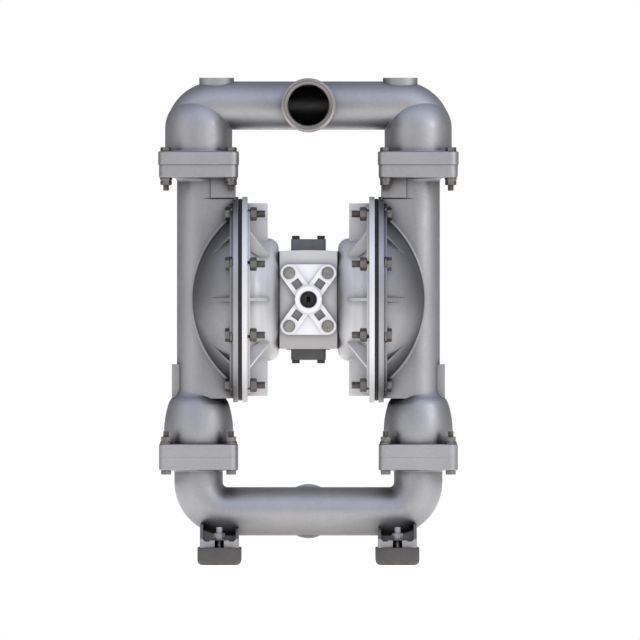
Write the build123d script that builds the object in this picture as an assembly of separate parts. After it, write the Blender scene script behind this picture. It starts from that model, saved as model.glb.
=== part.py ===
from build123d import *
import math
import os

# Air operated double diaphragm pump, in millimetres.
# X runs across the pump along the diaphragm shaft, Y runs from the front to the back, Z is up.
# The floor is at Z = 0 and the discharge port faces the front (-Y).

# Main layout
leg_x = 147.8            # valve columns, left and right of the middle
inlet_z = 71.8           # middle of the inlet pipe
inlet_rise = 73.0        # from there up to the lower parting
shaft_rise = 212.1       # lower parting to the diaphragm shaft
parting_gap = 393.7      # lower parting to the upper parting
discharge_rise = 79.6    # upper parting to the middle of the discharge pipe
cast_wall = 6.5
running_gap = 0.3

# Pipe runs and ports
pipe_radius = 32.6
inlet_bend_inside = 6.4
discharge_bend_inside = 2.7
discharge_leg_x = 159.7
port_boss_radius = 36.2
port_bore_radius = 28.1  # tapping size of a 2 inch pipe thread
port_depth = 27.0
port_throat_radius = 27.3
port_face_y = 98.0
port_chamfer = 3.0
top_boss_radius = 23.4
top_boss_depth = 18.1    # half its size from front to back
top_boss_x = 123.6
top_boss_rise = 4.8      # above the pipe

# Square flanges at both partings
flange_half = 53.2
discharge_flange_half = 54.3
flange_thickness = 17.7
flange_corner_radius = 10.5
flange_edge = 1.2
flange_fillet = 2.0
riser_fillet = 5.0       # where the riser meets the upper flange
flange_bolt_offset = 43.8

# Check valves
ball_radius = 30.0
ball_lift = 14.0
seat_radius = 40.0
seat_thickness = 12.0
seat_bore_radius = 23.0
seat_contact_radius = 27.2
seal_section_radius = 1.3
seal_circle_radius = 34.2
cage_gap = 0.8
cage_rib = 5.0
low_cage_rib_rise = 14.0
cage_stop_radius = 9.0
cage_stop_height = 7.0
cage_mouth_radius = 35.0

# Liquid chamber casting
flange_disc_radius = 138.4
dome_over_disc = 6.6      # dome radius over disc radius
dome_centre_x = 14.0
disc_face_x = 94.3       # face against the diaphragm
disc_thickness = 7.0
ring_thickness = 4.4
ring_step = 5.4           # disc edge to ring edge
riser_x = 144.4
riser_bottom_rise = 79.1  # above the lower parting, as the rises below
riser_root_x = 98.0
neck_inner_x = 99.1
neck_outer_x = 131.3
neck_drop = 44.6          # below the upper parting
neck_half_width = 35.0
neck_slit = 1.4           # relief under the neck block, tapering out at the riser
neck_slit_depth = 5.0
pad_face_x = 183.8
pad_bottom_rise = 79.8
pad_height = 45.4
pad_half_width = 14.0
bulb_radius = 46.6
bulb_foot_radius = 45.9
bulb_widest_rise = 33.1
bulb_waist_radius = 41.0
bulb_waist_rise = 70.9
bulb_flare_radius = 36.0
bulb_flare_rise = 79.6
bulb_flare_slope = 44.0   # from upright, in degrees
bulb_neck_radius = 29.0
bulb_neck_rise = 96.9
dome_rib = 5.0
dome_rib_root = 12.0
dome_rib_low_x = 106.0
dome_rib_high_x = 129.0
dome_rib_below_bolts = 4.6
dome_rib_over_dome = 0.7
dome_fillet = 4.5

# Discharge cage
cage_housing_radius = 45.2
cage_dome_rise = 49.0     # middle of the round top over the upper parting

# Diaphragm and pistons, at mid stroke
diaphragm_thickness = 5.2
diaphragm_inset = 2.4     # inside the disc edge
diaphragm_centre_x = 78.0
grip_inset = 11.8         # the rim is held flat from here outside to the bolts
roll_x = 94.5
roll_inset = 13.8         # middle of the roll inside the grip
disc_radius = 60.0
diaphragm_bend = 7.0
stroke_half = 18.0
inner_piston_radius = 54.0
inner_piston_thickness = 8.0
outer_piston_radius = 56.0
outer_piston_thickness = 11.0
outer_hub_radius = 21.0
outer_hub_end_x = 112.0
piston_edge = 3.0

# Shaft
shaft_radius = 11.0
shaft_stud_radius = 8.0
shaft_fit = 0.03
bushing_wall = 3.0
bushing_length = 18.0
shaft_seal_wall = 2.6
shaft_seal_length = 3.0

# Air chamber casting
air_rim_thickness = 7.2
air_step_thickness = 3.4
air_step_inset = 8.7      # inside the disc edge
air_drum_radius = 82.4
air_drum_fillet = 16.0
air_shoulder_radius = 14.0
air_wall = 5.0
air_end_x = 40.0
air_end_wall = 6.5
air_rib = 4.2
air_rib_root_x = 51.5
lug_inner_x = 54.8
lug_half_width = 23.0

# Centre section
block_half_width = 38.8
block_half_depth = 58.0
block_drop = 66.3         # below the shaft
block_rise = 65.1         # above it
block_crown = 1.3
passage_radius = 5.0
passage_height = 46.0
passage_y = 30.0
exhaust_height = 26.0
exhaust_turn_y = 36.0
slot_half_width = 2.4
slot_half_height = 3.75
slot_face_depth = 8.0

# Pilot valve
pilot_y = 32.0
pilot_radius = 5.0
pilot_sleeve_radius = 9.0
pilot_travel = 8.0
pilot_groove = 6.0
pilot_groove_pitch = 12.0

# Exhaust plate on the front
gasket_thickness = 1.2
plate_screw_x = 25.9
plate_screw_z = 35.7
plate_lobe_radius = 11.7
plate_web = 8.0
plate_arm = 12.5
plate_pocket = 11.7
plate_pocket_x = 15.3
plate_pocket_z = 20.9
plate_boss_radius = 18.05
plate_boss_length = 18.0
exhaust_radius = 11.75   # tapping size of a 3/4 inch pipe thread
plate_screw_head_radius = 7.4
plate_screw_head_height = 5.5
plate_screw_ring = 0.7
plate_screw_recess = 1.6
plate_screw_depth = 18.0
plate_screw_reach = 16.0

# Air valve on the back
valve_half_width = 29.5
valve_depth = 56.0
valve_drop = 67.6         # below the shaft
valve_rise = 65.1         # above it
valve_corner = 5.0
spool_y = 88.0
spool_bore_radius = 13.0
spool_fit = 0.04
spool_land = 16.0
spool_groove_radius = 8.5
spool_travel = 16.0
cap_half_width = 23.5
cap_rise = 81.7           # above the shaft
cap_drop = 81.4           # below it
cap_front_gap = 6.0
cap_plug = 6.0
cap_corner = 4.0
cap_screw_offset = 17.0
air_boss_radius = 18.5
air_boss_length = 7.0
air_port_depth = 17.0

# Feet
foot_x = 119.7
foot_y = 80.0
foot_radius = 29.65
foot_height = 23.4
foot_edge_radius = 7.0
foot_stud_radius = 4.3
foot_stud_top_z = 50.9
foot_stud_bottom_z = 10.0
bracket_width = 52.2
bracket_wall = 4.2
bracket_base = 8.4
bracket_half_length = 98.0
bracket_lip = 12.0
bracket_flat_end_y = 66.0
bracket_rise_y = 27.0
bracket_outer_rise = 31.0
bracket_inner_rise = 25.0
bracket_slot = 12.6
bracket_pad = 1.5
bracket_pad_half = 13.0
bracket_corner = 2.6
bracket_web = 6.0         # wall across the channel under the pipe

# Fasteners
m10_radius = 5.0
m10_flats = 16.0
m10_head = 6.9
m10_nut = 9.3
m10_washer_radius = 10.0
m10_washer = 3.5
m10_clearance = 5.5
chamber_bolt_inset = 13.8  # inside the disc edge
chamber_bolt_length = 47.6
chamber_bolts = 8
m8_radius = 4.0
m8_flats = 13.0
m8_head = 5.6
m8_nut = 8.2
m8_washer_radius = 8.3
m8_washer = 1.6
m8_clearance = 4.5
flange_bolt_tip = 7.4
m6_radius = 3.0
m6_head_radius = 5.3
m6_head = 4.6
m6_clearance = 3.3
m6_reach = 13.0
chamber_screw_inset = 21.4
valve_screw_x = 22.0
valve_screw_z = 46.0
nut_fit = 0.03

# Derived sizes
inlet_bend_radius = pipe_radius + inlet_bend_inside
discharge_bend_radius = pipe_radius + discharge_bend_inside
chamber_screw_circle = air_drum_radius - chamber_screw_inset
lower_parting_z = inlet_z + inlet_rise            # inlet manifold against the liquid chambers
upper_parting_z = lower_parting_z + parting_gap   # liquid chambers against the discharge manifold
shaft_z = lower_parting_z + shaft_rise
discharge_z = upper_parting_z + discharge_rise
top_boss_z = discharge_z + pipe_radius + top_boss_rise
dome_radius = flange_disc_radius + dome_over_disc
ring_radius = flange_disc_radius - ring_step
air_step_radius = flange_disc_radius - air_step_inset
diaphragm_radius = flange_disc_radius - diaphragm_inset
chamber_bolt_circle = flange_disc_radius - chamber_bolt_inset
diaphragm_grip_radius = chamber_bolt_circle - grip_inset
roll_radius = diaphragm_grip_radius - roll_inset
riser_bottom_z = lower_parting_z + riser_bottom_rise
neck_bottom_z = upper_parting_z - neck_drop
pad_bottom_z = lower_parting_z + pad_bottom_rise
pad_top_z = pad_bottom_z + pad_height
bulb_widest_z = lower_parting_z + bulb_widest_rise
bulb_waist_z = lower_parting_z + bulb_waist_rise
bulb_flare_z = lower_parting_z + bulb_flare_rise
bulb_neck_z = lower_parting_z + bulb_neck_rise
cage_dome_z = upper_parting_z + cage_dome_rise
block_bottom_z = shaft_z - block_drop
block_top_z = shaft_z + block_rise
valve_bottom_z = shaft_z - valve_drop
valve_top_z = shaft_z + valve_rise
cap_top_z = shaft_z + cap_rise
cap_bottom_z = shaft_z - cap_drop
dome_rib_low = (dome_rib_low_x, chamber_bolt_circle - dome_rib_below_bolts)
dome_rib_high = (dome_rib_high_x, dome_rib_over_dome
                 + math.sqrt(dome_radius ** 2 - (dome_rib_high_x - dome_centre_x) ** 2))
pipe_bore_radius = pipe_radius - cast_wall
riser_bore_radius = pipe_bore_radius
disc_back_x = disc_face_x + disc_thickness
ring_face_x = disc_back_x + ring_thickness
rim_face_x = disc_face_x - diaphragm_thickness
rim_back_x = rim_face_x - air_rim_thickness
step_back_x = rim_back_x - air_step_thickness
air_inner_x = air_end_x + air_end_wall
disc_outer_face_x = diaphragm_centre_x + diaphragm_thickness / 2
disc_inner_face_x = diaphragm_centre_x - diaphragm_thickness / 2
inner_piston_face_x = disc_inner_face_x - inner_piston_thickness
outer_piston_face_x = disc_outer_face_x + outer_piston_thickness
ball_drop = math.sqrt(ball_radius ** 2 - seat_contact_radius ** 2)
ball_low_z = lower_parting_z + ball_drop
ball_high_z = upper_parting_z + ball_drop
pilot_half_length = inner_piston_face_x - stroke_half - running_gap + pilot_travel
valve_face_y = block_half_depth + gasket_thickness
valve_back_y = valve_face_y + valve_depth
foot_top_z = foot_height
bracket_top_z = foot_top_z + bracket_base
bolt_angles = [(index + 0.5) * 360 / chamber_bolts for index in range(chamber_bolts)]
square = [(-1, -1), (-1, 1), (1, -1), (1, 1)]


def bar(axis, radius, start, end, a=0.0, b=0.0):
    """Round bar along an axis; a and b are its other two coordinates in X, Y, Z order."""
    middle = (start + end) / 2
    shape = Cylinder(radius, end - start)
    if axis == "x":
        return Pos(middle, a, b) * Rot(0, 90, 0) * shape
    if axis == "y":
        return Pos(a, middle, b) * Rot(90, 0, 0) * shape
    return Pos(a, b, middle) * shape


def tube(axis, outer, inner, start, end, a=0.0, b=0.0):
    return bar(axis, outer, start, end, a, b) - bar(axis, inner, start, end, a, b)


def hexagon(axis, flats, start, end, a=0.0, b=0.0):
    """Hexagonal bar along an axis, placed like bar."""
    middle = (start + end) / 2
    outline = RegularPolygon(flats / 2, 6, major_radius=False)
    shape = extrude(outline, (end - start) / 2, both=True)
    if axis == "x":
        return Pos(middle, a, b) * Rot(0, 90, 0) * shape
    if axis == "y":
        return Pos(a, middle, b) * Rot(90, 0, 0) * shape
    return Pos(a, b, middle) * shape


def block(x0, x1, y0, y1, z0, z1):
    size = Box(abs(x1 - x0), abs(y1 - y0), abs(z1 - z0))
    return Pos((x0 + x1) / 2, (y0 + y1) / 2, (z0 + z1) / 2) * size


def other_side(shape):
    return mirror(shape, about=Plane.YZ)


def upright(*curves):
    """Face in the XZ plane inside closed curves drawn through (x, z) points."""
    return Plane.XZ * make_face(list(curves))


def cap(radius):
    """Part of a sphere between the chamber face and its crown, on the shaft axis."""
    rise = math.sqrt(radius ** 2 - (disc_face_x - dome_centre_x) ** 2)
    crown = (dome_centre_x + radius, shaft_z)
    rim = (disc_face_x, shaft_z + rise)
    curve = RadiusArc(rim, crown, radius)
    return about_shaft(upright(curve, Polyline(crown, (disc_face_x, shaft_z), rim)))


def about_shaft(face):
    return revolve(face, axis=Axis((0, 0, shaft_z), (1, 0, 0)), revolution_arc=360)


def about_column(face):
    return revolve(face, axis=Axis((leg_x, 0, 0), (0, 0, 1)), revolution_arc=360)


def around_shaft(shape, angle):
    """Turn a shape about the shaft; 0 is the front and 90 the top."""
    centred = Pos(0, 0, -shaft_z) * shape
    return Pos(0, 0, shaft_z) * Rot(-angle, 0, 0) * centred


def round_shaft(shape, angle):
    """Carry a shape about the shaft without turning it, from where it stands at the front."""
    turn = math.radians(angle)
    return Pos(0, chamber_bolt_circle * (1 - math.cos(turn)), chamber_bolt_circle * math.sin(turn)) * shape


def web(thickness, points):
    """Flat rib towards the front, from (x, radius) points about the shaft."""
    corners = [(x, -radius, shaft_z) for x, radius in points]
    face = make_face(Polyline(*corners, close=True))
    return extrude(face, thickness / 2, dir=(0, 0, 1), both=True)


def elbow(radius, bend, x, z, turn):
    """Quarter bend from the end of a pipe run into a vertical leg; turn is 1 up, -1 down."""
    circle = Plane(origin=(x, 0, z), z_dir=(1, 0, 0)) * Circle(radius)
    centre = (x, 0, z + turn * bend)
    return revolve(circle, axis=Axis(centre, (0, -turn, 0)), revolution_arc=90)


def square_flange(half, parting, back):
    """Square flange from its parting face to its back, which has the broken edge."""
    outline = RectangleRounded(2 * half, 2 * half, flange_corner_radius)
    plate = Pos(leg_x, 0, min(parting, back)) * extrude(outline, abs(back - parting))
    rims = plate.edges().group_by(Axis.Z)
    return chamfer(rims[-1] if back > parting else rims[0], flange_edge)


def soften(shape, flange_back, radius):
    """Rounds the corner between a flange's back and the round column of that radius on it."""
    seams = [edge for edge in shape.edges().filter_by(GeomType.CIRCLE)
             if abs(edge.radius - radius) < running_gap and abs(edge.center().Z - flange_back) < running_gap]
    return fillet(seams, flange_fillet)


def flange_holes(bottom, top):
    holes = []
    for sx, sy in square:
        x = leg_x + sx * flange_bolt_offset
        y = sy * flange_bolt_offset
        holes.append(bar("z", m8_clearance, bottom - 1, top + 1, x, y))
    return holes


def seat_recess(parting):
    """Recess for a valve seat below a parting, with its seal groove."""
    floor = parting - seat_thickness
    pocket = bar("z", seat_radius + nut_fit, floor, parting + 1, leg_x, 0)
    half = 1.25 * seal_section_radius
    groove = tube("z", seal_circle_radius + half, seal_circle_radius - half,
                  floor - 2 * seal_section_radius, floor, leg_x, 0)
    return pocket + groove


def cage_ribs(rest_z, outer_radius, bottom, envelope):
    """Four ribs that guide a valve ball and stop its lift."""
    guide = ball_radius + cage_gap
    top_z = rest_z + ball_lift
    reach = math.sqrt((ball_radius + running_gap) ** 2 - cage_stop_radius ** 2)
    stop_z = top_z + reach
    step_z = top_z + math.sqrt((ball_radius + cage_gap) ** 2 - 20.0 ** 2)
    points = [(guide, bottom), (outer_radius, bottom), (outer_radius, stop_z + cage_stop_height),
              (cage_stop_radius, stop_z + cage_stop_height), (cage_stop_radius, stop_z),
              (guide, top_z)]
    ribs = Part()
    for index in range(4):
        corners = [(radius, 0, z) for radius, z in points]
        face = make_face(Polyline(*corners, close=True))
        rib = extrude(face, cage_rib / 2, dir=(0, 1, 0), both=True)
        rib -= Pos(0, 0, top_z) * Sphere(ball_radius + running_gap)
        ribs += Pos(leg_x, 0, 0) * Rot(0, 0, 45 + 90 * index) * rib
    return ribs & envelope


def port(z, face_y, sign):
    """Solid and bore of a pipe port in the middle of a run; sign is the side it faces."""
    boss = bar("y", port_boss_radius, 0, face_y, 0, z)
    boss = chamfer(boss.edges().group_by(Axis.Y)[-1], port_chamfer)
    bore = bar("y", port_bore_radius, face_y - port_depth, face_y + 1, 0, z)
    bore += bar("y", port_throat_radius, 0, face_y, 0, z)
    mouth = Pos(0, face_y - port_chamfer / 2, z) * Rot(-90, 0, 0)
    bore += mouth * Cone(port_bore_radius, port_bore_radius + port_chamfer, port_chamfer)
    if sign < 0:
        boss = mirror(boss, about=Plane.XZ)
        bore = mirror(bore, about=Plane.XZ)
    return boss, bore


def bracket():
    """Channel along Y under one end of the inlet pipe that carries two feet."""
    inner = foot_x - bracket_width / 2
    outer = foot_x + bracket_width / 2
    end = bracket_half_length
    lip_z = foot_top_z + bracket_lip
    shape = block(inner, outer, -end, end, foot_top_z, bracket_top_z)
    for wall_x, rise in [(inner, bracket_inner_rise), (outer - bracket_wall, bracket_outer_rise)]:
        top = foot_top_z + rise
        outline = [(-end, foot_top_z), (-end, lip_z), (-bracket_flat_end_y, lip_z),
                   (-bracket_rise_y, top), (bracket_rise_y, top),
                   (bracket_flat_end_y, lip_z), (end, lip_z), (end, foot_top_z)]
        face = make_face(Polyline(*[(wall_x, y, z) for y, z in outline], close=True))
        shape += extrude(face, bracket_wall, dir=(1, 0, 0))
    for x, wall in [(inner, inner + bracket_wall), (outer, outer - bracket_wall)]:
        lean = math.copysign(bracket_corner, foot_x - wall)
        corners = [(wall, bracket_top_z), (wall + lean, bracket_top_z),
                   (wall, bracket_top_z + bracket_corner)]
        face = make_face(Polyline(*[(px, -end, pz) for px, pz in corners], close=True))
        shape += extrude(face, 2 * end, dir=(0, 1, 0))
    for sy in (-1, 1):
        pad_end = sy * (foot_y - bracket_pad_half)
        shape += block(foot_x - bracket_pad_half, foot_x + bracket_pad_half, pad_end, sy * end,
                       bracket_top_z - 1, bracket_top_z + bracket_pad)
    for sy in (-1, 1):
        slot = block(foot_x - bracket_slot / 2, foot_x + bracket_slot / 2, sy * foot_y, sy * (end + 1),
                     foot_top_z - 1, bracket_top_z + bracket_pad + 1)
        slot += bar("z", bracket_slot / 2, foot_top_z - 1, bracket_top_z + bracket_pad + 1,
                    foot_x, sy * foot_y)
        shape -= slot
    return shape + block(inner, outer, -bracket_web / 2, bracket_web / 2, bracket_top_z - 1, inlet_z)


def inlet_manifold():
    run_end = leg_x - inlet_bend_radius
    leg_bottom = inlet_z + inlet_bend_radius
    flange_bottom = lower_parting_z - flange_thickness
    boss, port_bore = port(inlet_z, port_face_y, 1)
    side = elbow(pipe_radius, inlet_bend_radius, run_end, inlet_z, 1)
    side += bar("z", pipe_radius, leg_bottom, flange_bottom + 1, leg_x, 0)
    side += square_flange(flange_half, lower_parting_z, flange_bottom)
    side = soften(side, flange_bottom, pipe_radius)
    side += bracket()
    bore = elbow(pipe_bore_radius, inlet_bend_radius, run_end, inlet_z, 1)
    bore += bar("z", pipe_bore_radius, leg_bottom, lower_parting_z + 1, leg_x, 0)
    bore += seat_recess(lower_parting_z)
    body = bar("x", pipe_radius, -run_end, run_end, 0, inlet_z) + boss
    body += [side, other_side(side)]
    hollow = bar("x", pipe_bore_radius, -run_end, run_end, 0, inlet_z) + port_bore
    hollow += [bore, other_side(bore)]
    for hole in flange_holes(flange_bottom, lower_parting_z):
        hollow += [hole, other_side(hole)]
    return body - hollow


def domed_column(radius, bottom):
    """Round column on a valve axis with a half ball on top."""
    crown = (leg_x, cage_dome_z + radius)
    shoulder = (leg_x + radius, cage_dome_z)
    wall = Polyline(crown, (leg_x, bottom), (leg_x + radius, bottom), shoulder)
    return about_column(upright(wall, RadiusArc(shoulder, crown, -radius)))


def discharge_manifold():
    run_end = discharge_leg_x - discharge_bend_radius
    flange_top = upper_parting_z + flange_thickness
    boss, port_bore = port(discharge_z, port_face_y, -1)
    housing = domed_column(cage_housing_radius, upper_parting_z + 1)
    side = housing + square_flange(discharge_flange_half, upper_parting_z, flange_top)
    side = soften(side, flange_top, cage_housing_radius)
    side += elbow(pipe_radius, discharge_bend_radius, run_end, discharge_z, -1)
    side += bar("z", pipe_radius, flange_top + pipe_radius / 4, discharge_z - discharge_bend_radius,
                discharge_leg_x, 0)
    side += Pos(top_boss_x, 0, discharge_z) * extrude(Ellipse(top_boss_radius, top_boss_depth),
                                                      top_boss_z - discharge_z)
    cavity_radius = cage_housing_radius - cast_wall
    cavity = domed_column(cavity_radius, upper_parting_z + 6)
    cavity += bar("z", cage_mouth_radius, upper_parting_z - 1, upper_parting_z + 7, leg_x, 0)
    cavity += elbow(pipe_bore_radius, discharge_bend_radius, run_end, discharge_z, -1)
    body = bar("x", pipe_radius, -run_end, run_end, 0, discharge_z) + boss
    body += [side, other_side(side)]
    hollow = bar("x", pipe_bore_radius, -run_end, run_end, 0, discharge_z) + port_bore
    hollow += [cavity, other_side(cavity)]
    for hole in flange_holes(upper_parting_z, flange_top):
        hollow += [hole, other_side(hole)]
    ribs = cage_ribs(ball_high_z, cavity_radius + 3, upper_parting_z + 8, housing)
    return body - hollow + [ribs, other_side(ribs)]


def bullet(radius, root_x, bottom, top):
    """Half round column with flat sides that run in to root_x."""
    shape = bar("z", radius, bottom, top, riser_x, 0)
    return shape + block(root_x, riser_x, -radius, radius, bottom, top)


def bulb_face(inset, bottom_radius, bottom_z):
    """Profile of the ball cage under the riser, drawn in by inset."""
    foot = (leg_x + bottom_radius - inset, bottom_z)
    widest = (leg_x + bulb_radius - inset, bulb_widest_z)
    waist = (leg_x + bulb_waist_radius - inset, bulb_waist_z)
    flare = (leg_x + bulb_flare_radius - inset, bulb_flare_z)
    neck = (leg_x + bulb_neck_radius - inset, bulb_neck_z)
    drop = bulb_waist_z - bulb_widest_z
    shrink = bulb_radius - bulb_waist_radius
    side_radius = (drop ** 2 + shrink ** 2) / (2 * shrink)
    side = RadiusArc(widest, waist, -side_radius)
    slope = math.asin(drop / side_radius)
    shoulder = TangentArc(waist, flare, tangent=(-math.sin(slope), math.cos(slope)))
    tilt = math.radians(bulb_flare_slope)
    hollow = TangentArc(flare, neck, tangent=(-math.sin(tilt), math.cos(tilt)))
    close = Polyline(neck, (leg_x, bulb_neck_z), (leg_x, bottom_z), foot, widest)
    return upright(side, shoulder, hollow, close)


def fillet_ring(radius, size, back):
    """Ring that rounds the corner between the riser and the flange above it."""
    inner = riser_x + radius - 1
    foot = (riser_x + radius, back - size)
    rim = (riser_x + radius + size, back)
    sides = Polyline(rim, (riser_x + radius + size, back + 1), (inner, back + 1), (inner, back - size), foot)
    return revolve(upright(sides, RadiusArc(foot, rim, size)), axis=Axis((riser_x, 0, 0), (0, 0, 1)),
                   revolution_arc=360)


def neck_relief():
    """Wedge cut into the front and back of the web, right under the neck block."""
    corners = [(riser_x - 2, pipe_radius), (neck_inner_x, pipe_radius - neck_slit_depth),
               (neck_inner_x, neck_half_width + 1), (riser_x - 2, neck_half_width + 1)]
    front = make_face(Polyline(*[(x, -y, neck_bottom_z - neck_slit) for x, y in corners], close=True))
    cut = extrude(front, neck_slit, dir=(0, 0, 1))
    return cut + mirror(cut, about=Plane.XZ)


def outer_chamber():
    top_flange_z = upper_parting_z - flange_thickness
    low_flange_z = lower_parting_z + flange_thickness
    body = bullet(pipe_radius, riser_root_x, riser_bottom_z, top_flange_z + 1) + cap(dome_radius)
    seams = [edge for edge in body.edges()
             if edge.bounding_box().size.X > dome_fillet and edge.bounding_box().size.Z > pipe_radius
             and edge.bounding_box().size.Y < dome_fillet]
    body = fillet(seams, dome_fillet)
    bulb = about_column(bulb_face(0, bulb_foot_radius, low_flange_z - 1))
    body += bulb
    body += bar("x", flange_disc_radius, disc_face_x, disc_back_x, 0, shaft_z)
    body += bar("x", ring_radius, disc_back_x, ring_face_x, 0, shaft_z)
    body += block(neck_inner_x, neck_outer_x, -neck_half_width, neck_half_width,
                  neck_bottom_z, top_flange_z + 1)
    body -= neck_relief()
    body += fillet_ring(pipe_radius, riser_fillet, top_flange_z)
    body += block(riser_x, pad_face_x, -pad_half_width, pad_half_width, pad_bottom_z, pad_top_z)
    body += square_flange(flange_half, upper_parting_z, top_flange_z)
    body += square_flange(flange_half, lower_parting_z, low_flange_z)
    rib = web(dome_rib, [dome_rib_low, dome_rib_high,
                         (dome_rib_high[0] - 8, dome_rib_high[1] - 3),
                         (disc_back_x - 1, dome_rib_low[1] - dome_rib_root),
                         (disc_back_x - 1, dome_rib_low[1])])
    body += [around_shaft(rib, angle) for angle in (0, 45, -45, 135, 180, 225)]
    for angle in bolt_angles:
        spot = bar("x", m10_washer_radius + 1, disc_back_x + 0.5, ring_face_x + 6,
                   -chamber_bolt_circle, shaft_z)
        hole = bar("x", m10_clearance, disc_face_x - 1, ring_face_x + 1, -chamber_bolt_circle, shaft_z)
        body -= around_shaft(spot + hole, angle)
    hollow = cap(dome_radius - cast_wall)
    hollow += bullet(riser_bore_radius, riser_root_x + 12, riser_bottom_z + cast_wall + 1,
                     neck_bottom_z - cast_wall)
    hollow += bar("z", riser_bore_radius, riser_bottom_z + cast_wall + 1, upper_parting_z, riser_x, 0)
    cage = about_column(bulb_face(cast_wall, cage_mouth_radius + cast_wall, lower_parting_z - 1))
    hollow += cage
    hollow += seat_recess(upper_parting_z)
    for hole in flange_holes(lower_parting_z, low_flange_z) + flange_holes(top_flange_z, upper_parting_z):
        hollow += hole
    ribs = cage_ribs(ball_low_z, bulb_radius - 3, lower_parting_z + low_cage_rib_rise, bulb)
    return body - hollow + ribs


def air_chamber():
    drum = air_drum_radius
    turn_x = step_back_x - air_drum_fillet
    shoulder_x = air_end_x + air_shoulder_radius

    def at(x, radius):
        return (x, shaft_z + radius)

    bend = RadiusArc(at(step_back_x, drum + air_drum_fillet), at(turn_x, drum), air_drum_fillet)
    shoulder = RadiusArc(at(shoulder_x, drum), at(air_end_x, drum - air_shoulder_radius),
                         -air_shoulder_radius)
    outline = [Polyline(at(air_end_x, 0), at(rim_face_x, 0), at(rim_face_x, flange_disc_radius),
                        at(rim_back_x, flange_disc_radius), at(rim_back_x, air_step_radius),
                        at(step_back_x, air_step_radius), at(step_back_x, drum + air_drum_fillet)),
               bend, Line(at(turn_x, drum), at(shoulder_x, drum)), shoulder,
               Line(at(air_end_x, drum - air_shoulder_radius), at(air_end_x, 0))]
    body = about_shaft(upright(*outline))
    rib = web(air_rib, [(rim_back_x, air_step_radius - 1), (step_back_x, air_step_radius - 1),
                        (air_rib_root_x, drum - 0.6), (shoulder_x + 8, drum - 3),
                        (rim_back_x, drum + air_drum_fillet)])
    body += [around_shaft(rib, angle) for angle in (0, 45, -45, 135, 180, 225)]
    lug = block(lug_inner_x, rim_back_x, -air_step_radius, -drum + air_wall - 0.5,
                shaft_z - lug_half_width, shaft_z + lug_half_width)
    body += [around_shaft(lug, angle) for angle in (90, 270)]
    inner = drum - air_wall
    wall_x = step_back_x + air_wall
    inner_bend = RadiusArc(at(wall_x, drum + air_drum_fillet), at(turn_x, inner),
                           air_drum_fillet + air_wall)
    corner = air_shoulder_radius - air_wall
    inner_shoulder = RadiusArc(at(air_inner_x + corner, inner), at(air_inner_x, inner - corner), -corner)
    cavity = [Polyline(at(air_inner_x, 0), at(rim_face_x + 1, 0), at(rim_face_x + 1, diaphragm_grip_radius),
                       at(rim_face_x, diaphragm_grip_radius), at(wall_x, diaphragm_grip_radius - 6),
                       at(wall_x, drum + air_drum_fillet)),
              inner_bend, Line(at(turn_x, inner), at(air_inner_x + corner, inner)), inner_shoulder,
              Line(at(air_inner_x, inner - corner), at(air_inner_x, 0))]
    body -= about_shaft(upright(*cavity))
    seal_x = air_end_x + (air_end_wall - shaft_seal_length) / 2
    body -= bar("x", shaft_radius + 0.3, air_end_x - 1, air_inner_x + 1, 0, shaft_z)
    body -= bar("x", shaft_radius + shaft_seal_wall, seal_x, seal_x + shaft_seal_length, 0, shaft_z)
    body -= bar("x", pilot_radius + 0.3, air_end_x - 1, air_inner_x + 1, pilot_y, shaft_z)
    for angle in bolt_angles:
        hole = bar("x", m10_clearance, step_back_x - 1, rim_face_x + 1, -chamber_bolt_circle, shaft_z)
        body -= around_shaft(hole, angle)
    for angle in (45, 135, 225, 315):
        hole = bar("x", m6_clearance, air_end_x - 1, air_inner_x + 1, -chamber_screw_circle, shaft_z)
        body -= around_shaft(hole, angle)
    return body


def passage_hole(radius, start, end, side):
    """Air passage through an end wall; the right one is high and the left one low."""
    return bar("x", radius, start, end, passage_y, shaft_z + side * passage_height)


def center_block():
    half = block_half_width
    crown = ThreePointArc((-half, 0, block_top_z), (0, 0, block_top_z + block_crown), (half, 0, block_top_z))
    sides = Polyline((half, 0, block_top_z), (half, 0, block_bottom_z), (-half, 0, block_bottom_z),
                     (-half, 0, block_top_z))
    body = extrude(make_face([crown, sides]), block_half_depth, dir=(0, 1, 0), both=True)
    body -= bar("x", shaft_radius + 0.6, -half - 1, half + 1, 0, shaft_z)
    for side in (-1, 1):
        inner_end = side * (half - bushing_length)
        ends = sorted([inner_end, side * (half + 1)])
        body -= bar("x", shaft_radius + bushing_wall, ends[0], ends[1], 0, shaft_z)
        reach = sorted([0, side * (half + 1)])
        body -= passage_hole(passage_radius, reach[0], reach[1], side)
        body -= bar("y", passage_radius, passage_y, block_half_depth + 1, 0,
                    shaft_z + side * passage_height)
        for angle in (45, 135, 225, 315):
            tap = bar("x", m6_radius, half - m6_reach, half + 1, -chamber_screw_circle, shaft_z)
            tap = around_shaft(tap, angle)
            body -= tap if side > 0 else other_side(tap)
    body -= bar("x", pilot_sleeve_radius, -half - 1, half + 1, pilot_y, shaft_z)
    body -= bar("y", exhaust_radius, -block_half_depth - 1, -block_half_depth + slot_face_depth, 0, shaft_z)
    body -= block(-slot_half_width, slot_half_width, -block_half_depth + slot_face_depth - 1,
                  -exhaust_turn_y, shaft_z - slot_half_height, shaft_z + slot_half_height)
    body -= bar("z", passage_radius, shaft_z - slot_half_height, shaft_z + exhaust_height, 0, -exhaust_turn_y)
    body -= bar("y", passage_radius, -exhaust_turn_y - passage_radius, block_half_depth + 1, 0,
                shaft_z + exhaust_height)
    for sx, sz in square:
        body -= bar("y", m8_radius, -block_half_depth - 1, -block_half_depth + plate_screw_depth,
                    sx * plate_screw_x, shaft_z + sz * plate_screw_z)
        body -= bar("y", m6_radius, block_half_depth - m6_reach, block_half_depth + 1,
                    sx * valve_screw_x, shaft_z + sz * valve_screw_z)
    return body


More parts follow.
